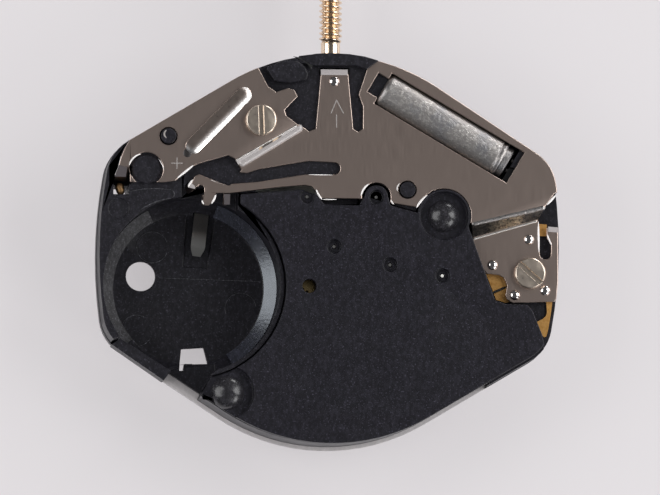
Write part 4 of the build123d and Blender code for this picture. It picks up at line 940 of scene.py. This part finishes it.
# The near-white threads are painted highlights. The near-black one is the painted shade of a gap, and the pin's glint
# is a painted highlight.
# Name, finish, radius, level or levels, plan points.
THREADS = (
    ("notch_left", lit_edge, 0.035, WING_EDGE, [(-7.56, 3.545), (-7.80, 3.44), (-7.94, 3.28), (-8.02, 3.06)]),
    ("notch_right", lit_edge, 0.016, WING_EDGE, [(-6.86, 3.35), (-6.68, 3.02), (-6.62, 2.64)]),
    ("hook_side", lit_edge, 0.030, (3.03, 3.0, 2.93), [(-8.33, 3.46), (-8.40, 3.08), (-8.56, 2.72)]),
    ("wing_side", lit_edge, 0.045, WING_EDGE, [(-6.16, 2.60), (-5.83, 2.87), (-5.50, 3.13)]),
    ("arm_top", lit_edge, 0.016, SEAT_EDGE, [(-5.30, 2.74), (-4.70, 2.52), (-4.15, 2.32)]),
    ("tip", lit_edge, 0.040, (2.86, 2.87, 2.89), [(-5.70, 2.28), (-5.62, 2.44), (-5.52, 2.57)]),
    ("finger_right", lit_edge, 0.045, (2.89, 2.89, 2.88), [(-4.62, 2.00), (-4.70, 1.80), (-4.81, 1.63)]),
    ("finger_left", lit_edge, 0.032, (2.89, 2.88, 2.87), [(-5.15, 1.78), (-5.13, 1.68), (-5.07, 1.62)]),
    ("boss_left", lit_edge, 0.042, SEAT_EDGE, [(-0.70, 2.23), (-0.59, 1.98), (-0.47, 1.83)]),
    ("boss_right", lit_edge, 0.042, SEAT_EDGE, [(1.047, 1.97), (1.145, 2.242), (1.36, 2.457)]),
    ("slot_low", lit_edge, 0.020, SEAT_EDGE, [(-1.02, 2.80), (-0.5, 2.79), (0.0, 2.79)]),
    ("boss_low", lit_edge, 0.020, SEAT_EDGE, [(-0.47, 1.835), (-0.20, 1.835), (0.10, 1.835)]),
    ("pin_notch", lit_edge, 0.050, SEAT_EDGE, [(3.22, 1.53), (3.38, 1.78), (3.70, 2.04)]),
    ("pin_notch_left", lit_edge, 0.030, SEAT_EDGE, [(2.22, 1.84), (2.26, 1.74), (2.33, 1.66)]),
    ("corner", lit_edge, 0.045, SEAT_EDGE, [(8.32, 1.67), (8.50, 1.87), (8.67, 2.05)]),
    ("slot_left", lit_edge, 0.042, RIGHT_EDGE, [(8.03, 1.04), (8.035, 0.45), (8.05, -0.18)]),
    ("slot_right", lit_edge, 0.030, RIGHT_EDGE, [(8.38, 0.58), (8.48, 0.28), (8.56, 0.12)]),
    ("mould_seam", mould_line, 0.014, FLOOR_LINE, [(-6.80, -1.074), (-4.60, -1.14), (-2.50, -1.207)]),
    ("shelf_back", mould_line, 0.022, SHELF, [(-8.08, 2.08), (-7.21, 2.22), (-6.34, 2.18)]),
    ("shelf_end", mould_line, 0.022, SHELF, [(-6.34, 2.18), (-6.23, 2.02), (-6.34, 1.86)]),
    ("shelf_front", mould_line, 0.022, SHELF, [(-6.34, 1.86), (-7.00, 1.69), (-7.56, 1.39)]),
    # The dark thread across the amber film is the painted shade of a fine gap.
    ("amber_gap", resin, 0.050, 2.25, [(6.00, -1.84), (6.42, -1.66), (6.86, -1.46)]),
    # The pin's glint is a painted highlight in the scribed lines' pale grey.
    ("pin_glint", scribed, 0.040, 3.155, [(-6.56, 4.49), (-6.655, 4.33), (-6.56, 4.17)]),
    ("pin_hole", lit_edge, 0.030, SEAT_EDGE, [(2.49, 2.14), (2.47, 2.32), (2.58, 2.50)]),
)


def thread_grid(points, radius, rows=40, columns=10):
    """
    A thin thread along a smooth curve through up to four points, which is the polynomial of the lowest degree
    through them. Its radius at a share s of its length is radius * the square root of 1 - (2 s - 1) squared.
    """
    share = np.concatenate([[0], np.cumsum(np.linalg.norm(np.diff(points, axis=0), axis=1))])
    share /= share[-1]
    fine = np.linspace(0, 1, rows)
    path = np.stack([np.polyval(np.polyfit(share, points[:, k], len(points) - 1), fine) for k in range(3)], axis=-1)
    ahead = np.gradient(path, axis=0)
    ahead /= np.linalg.norm(ahead, axis=1)[:, None]
    side = np.cross(ahead, (0.0, 0.0, 1.0))
    side /= np.linalg.norm(side, axis=1)[:, None]
    up = np.cross(side, ahead)
    radii = radius * np.sqrt(np.clip(1 - (2 * fine - 1) ** 2, 0.02, 1))
    angle = np.linspace(0, 2 * np.pi, columns, endpoint=False)
    ring = np.cos(angle)[None, :, None] * side[:, None] + np.sin(angle)[None, :, None] * up[:, None]
    return path[:, None] + radii[:, None, None] * ring


for name, material, radius, levels, plan in THREADS:
    points = np.column_stack([plan, np.broadcast_to(levels, len(plan))])
    slot = "plate_steel" if material is lit_edge else "black_plastic"
    surface(f"edge_{name}", thread_grid(points, radius), material)
print("threads:", len(THREADS))

# %% [markdown]
# ## The pieces under the cover
#
# The wheels, the motor and the keyless works are seen through the holes and when the stem is pulled. They
# keep the CAD shapes and take their finish by node. Soft edges could be given to them too, but in the dark
# of those holes nobody would see them.

# %% Materials of the CAD nodes
HIDDEN = (
    (amber_film, "circuit_board"), (resin, "ic_chip"), (can_metal, "crystal_leads"),
    (soft_iron, "stator coil_core"), (black_plastic, "coil_flanges"), (copper, "coil_winding"),
    (magnet_metal, "rotor_magnet"), (brass, "second_wheel centre_wheel cannon_pinion hour_wheel"),
    (white_plastic, "rotor_pinion fifth_wheel third_wheel minute_wheel"),
    (spring_steel, "fifth_arbor second_arbor third_arbor minute_arbor"),
    (spring_steel, "setting_wheel clutch_wheel setting_lever yoke reset_lever"),
)
for material, nodes in HIDDEN:
    for node in nodes.split():
        mesh = frame["nodes"][node].data
        for index in range(len(mesh.materials)):
            mesh.materials[index] = material
print("CAD nodes with a finish:", sum(len(nodes.split()) for _, nodes in HIDDEN))

# %% [markdown]
# ## Floor and light
#
# The movement lies on a pale sheet in a light tent: bright walls on every side and a dark opening above for
# the camera. The walls give the bright lines along the edges, and the dark opening is what the flat plate
# mirrors, so the plate looks darker than the steel is. To the camera the sheet glows a little, so that it is
# as even as in the photograph, and for every other ray it is plain paper. A lamp for the backdrop alone would
# light the movement too.

# %% Floor
FLOOR_Z, FLOOR_HALF = -1.62, 400
PAPER_SEEN, PAPER_GLOW = (0.25, 0.24, 0.245), 0.45

corners = [(x * FLOOR_HALF * MM, y * FLOOR_HALF * MM, FLOOR_Z * MM) for x, y in ((-1, -1), (1, -1), (1, 1), (-1, 1))]
floor_mesh = bpy.data.meshes.new("floor")
floor_mesh.from_pydata(corners, [], [(0, 1, 2, 3)])
paper = Finish("paper", (0.80, 0.77, 0.79), 0.0, 0.8)
paper.tint(paper.noise(0.05, detail=2), (0.78, 0.76, 0.78))
seen = paper.add("ShaderNodeLightPath").outputs["Is Camera Ray"]
paper.tint(seen, PAPER_SEEN)
paper.set("Emission Color", (0.97, 0.93, 0.955, 1))
paper.join(paper.range(seen, 0, 1, 0, PAPER_GLOW), paper.shader.inputs["Emission Strength"])
floor_mesh.materials.append(paper.material)
floor = bpy.data.objects.new("floor", floor_mesh)
bpy.context.scene.collection.objects.link(floor)
print("floor's level in mm:", FLOOR_Z)

# %% [markdown]
# ### The walls of the tent
#
# Each wall is a square lamp that faces the movement. Metal mirrors the ones at the sides, which draws the bright
# edges. The ones behind and in front aren't mirrored, or the flat plate would turn white. A picture of a room
# all round could light the scene too, but its walls can't be set one by one.

# %% Lights
# Name, place and size in mm, power, whether metal mirrors it.
WALLS = (
    ("right_wall", (190, 50, 150), 170, 0.42, True),
    ("left_wall", (-190, 20, 150), 170, 0.32, True),
    ("back_wall", (20, 210, 160), 260, 0.30, False),
    ("front_wall", (-40, -210, 160), 260, 0.24, False),
    ("front_corner", (140, -130, 120), 90, 0.16, True),
    ("back_corner", (110, 185, 28), 60, 0.10, True),
)
SKY_COLOUR, SKY_STRENGTH = (0.93, 0.95, 1.0), 0.09

for name, place_mm, size_mm, power, mirrored in WALLS:
    data = bpy.data.lights.new(name, "AREA")
    data.size = size_mm * MM
    data.energy = power
    light = bpy.data.objects.new(name, data)
    light.location = Vector(place_mm) * MM
    light.rotation_euler = Vector(place_mm).to_track_quat("Z", "Y").to_euler()
    light.visible_glossy = mirrored
    bpy.context.scene.collection.objects.link(light)

world = bpy.data.worlds.new("world")
world.use_nodes = True
sky = world.node_tree.nodes["Background"]
sky.inputs["Color"].default_value = (*SKY_COLOUR, 1)
sky.inputs["Strength"].default_value = SKY_STRENGTH
bpy.context.scene.world = world
bpy.context.scene.view_settings.view_transform = "Standard"
print("power of the walls in W:", round(sum(wall[3] for wall in WALLS), 2))

# %% [markdown]
# ## The end
#
# The scene is done.
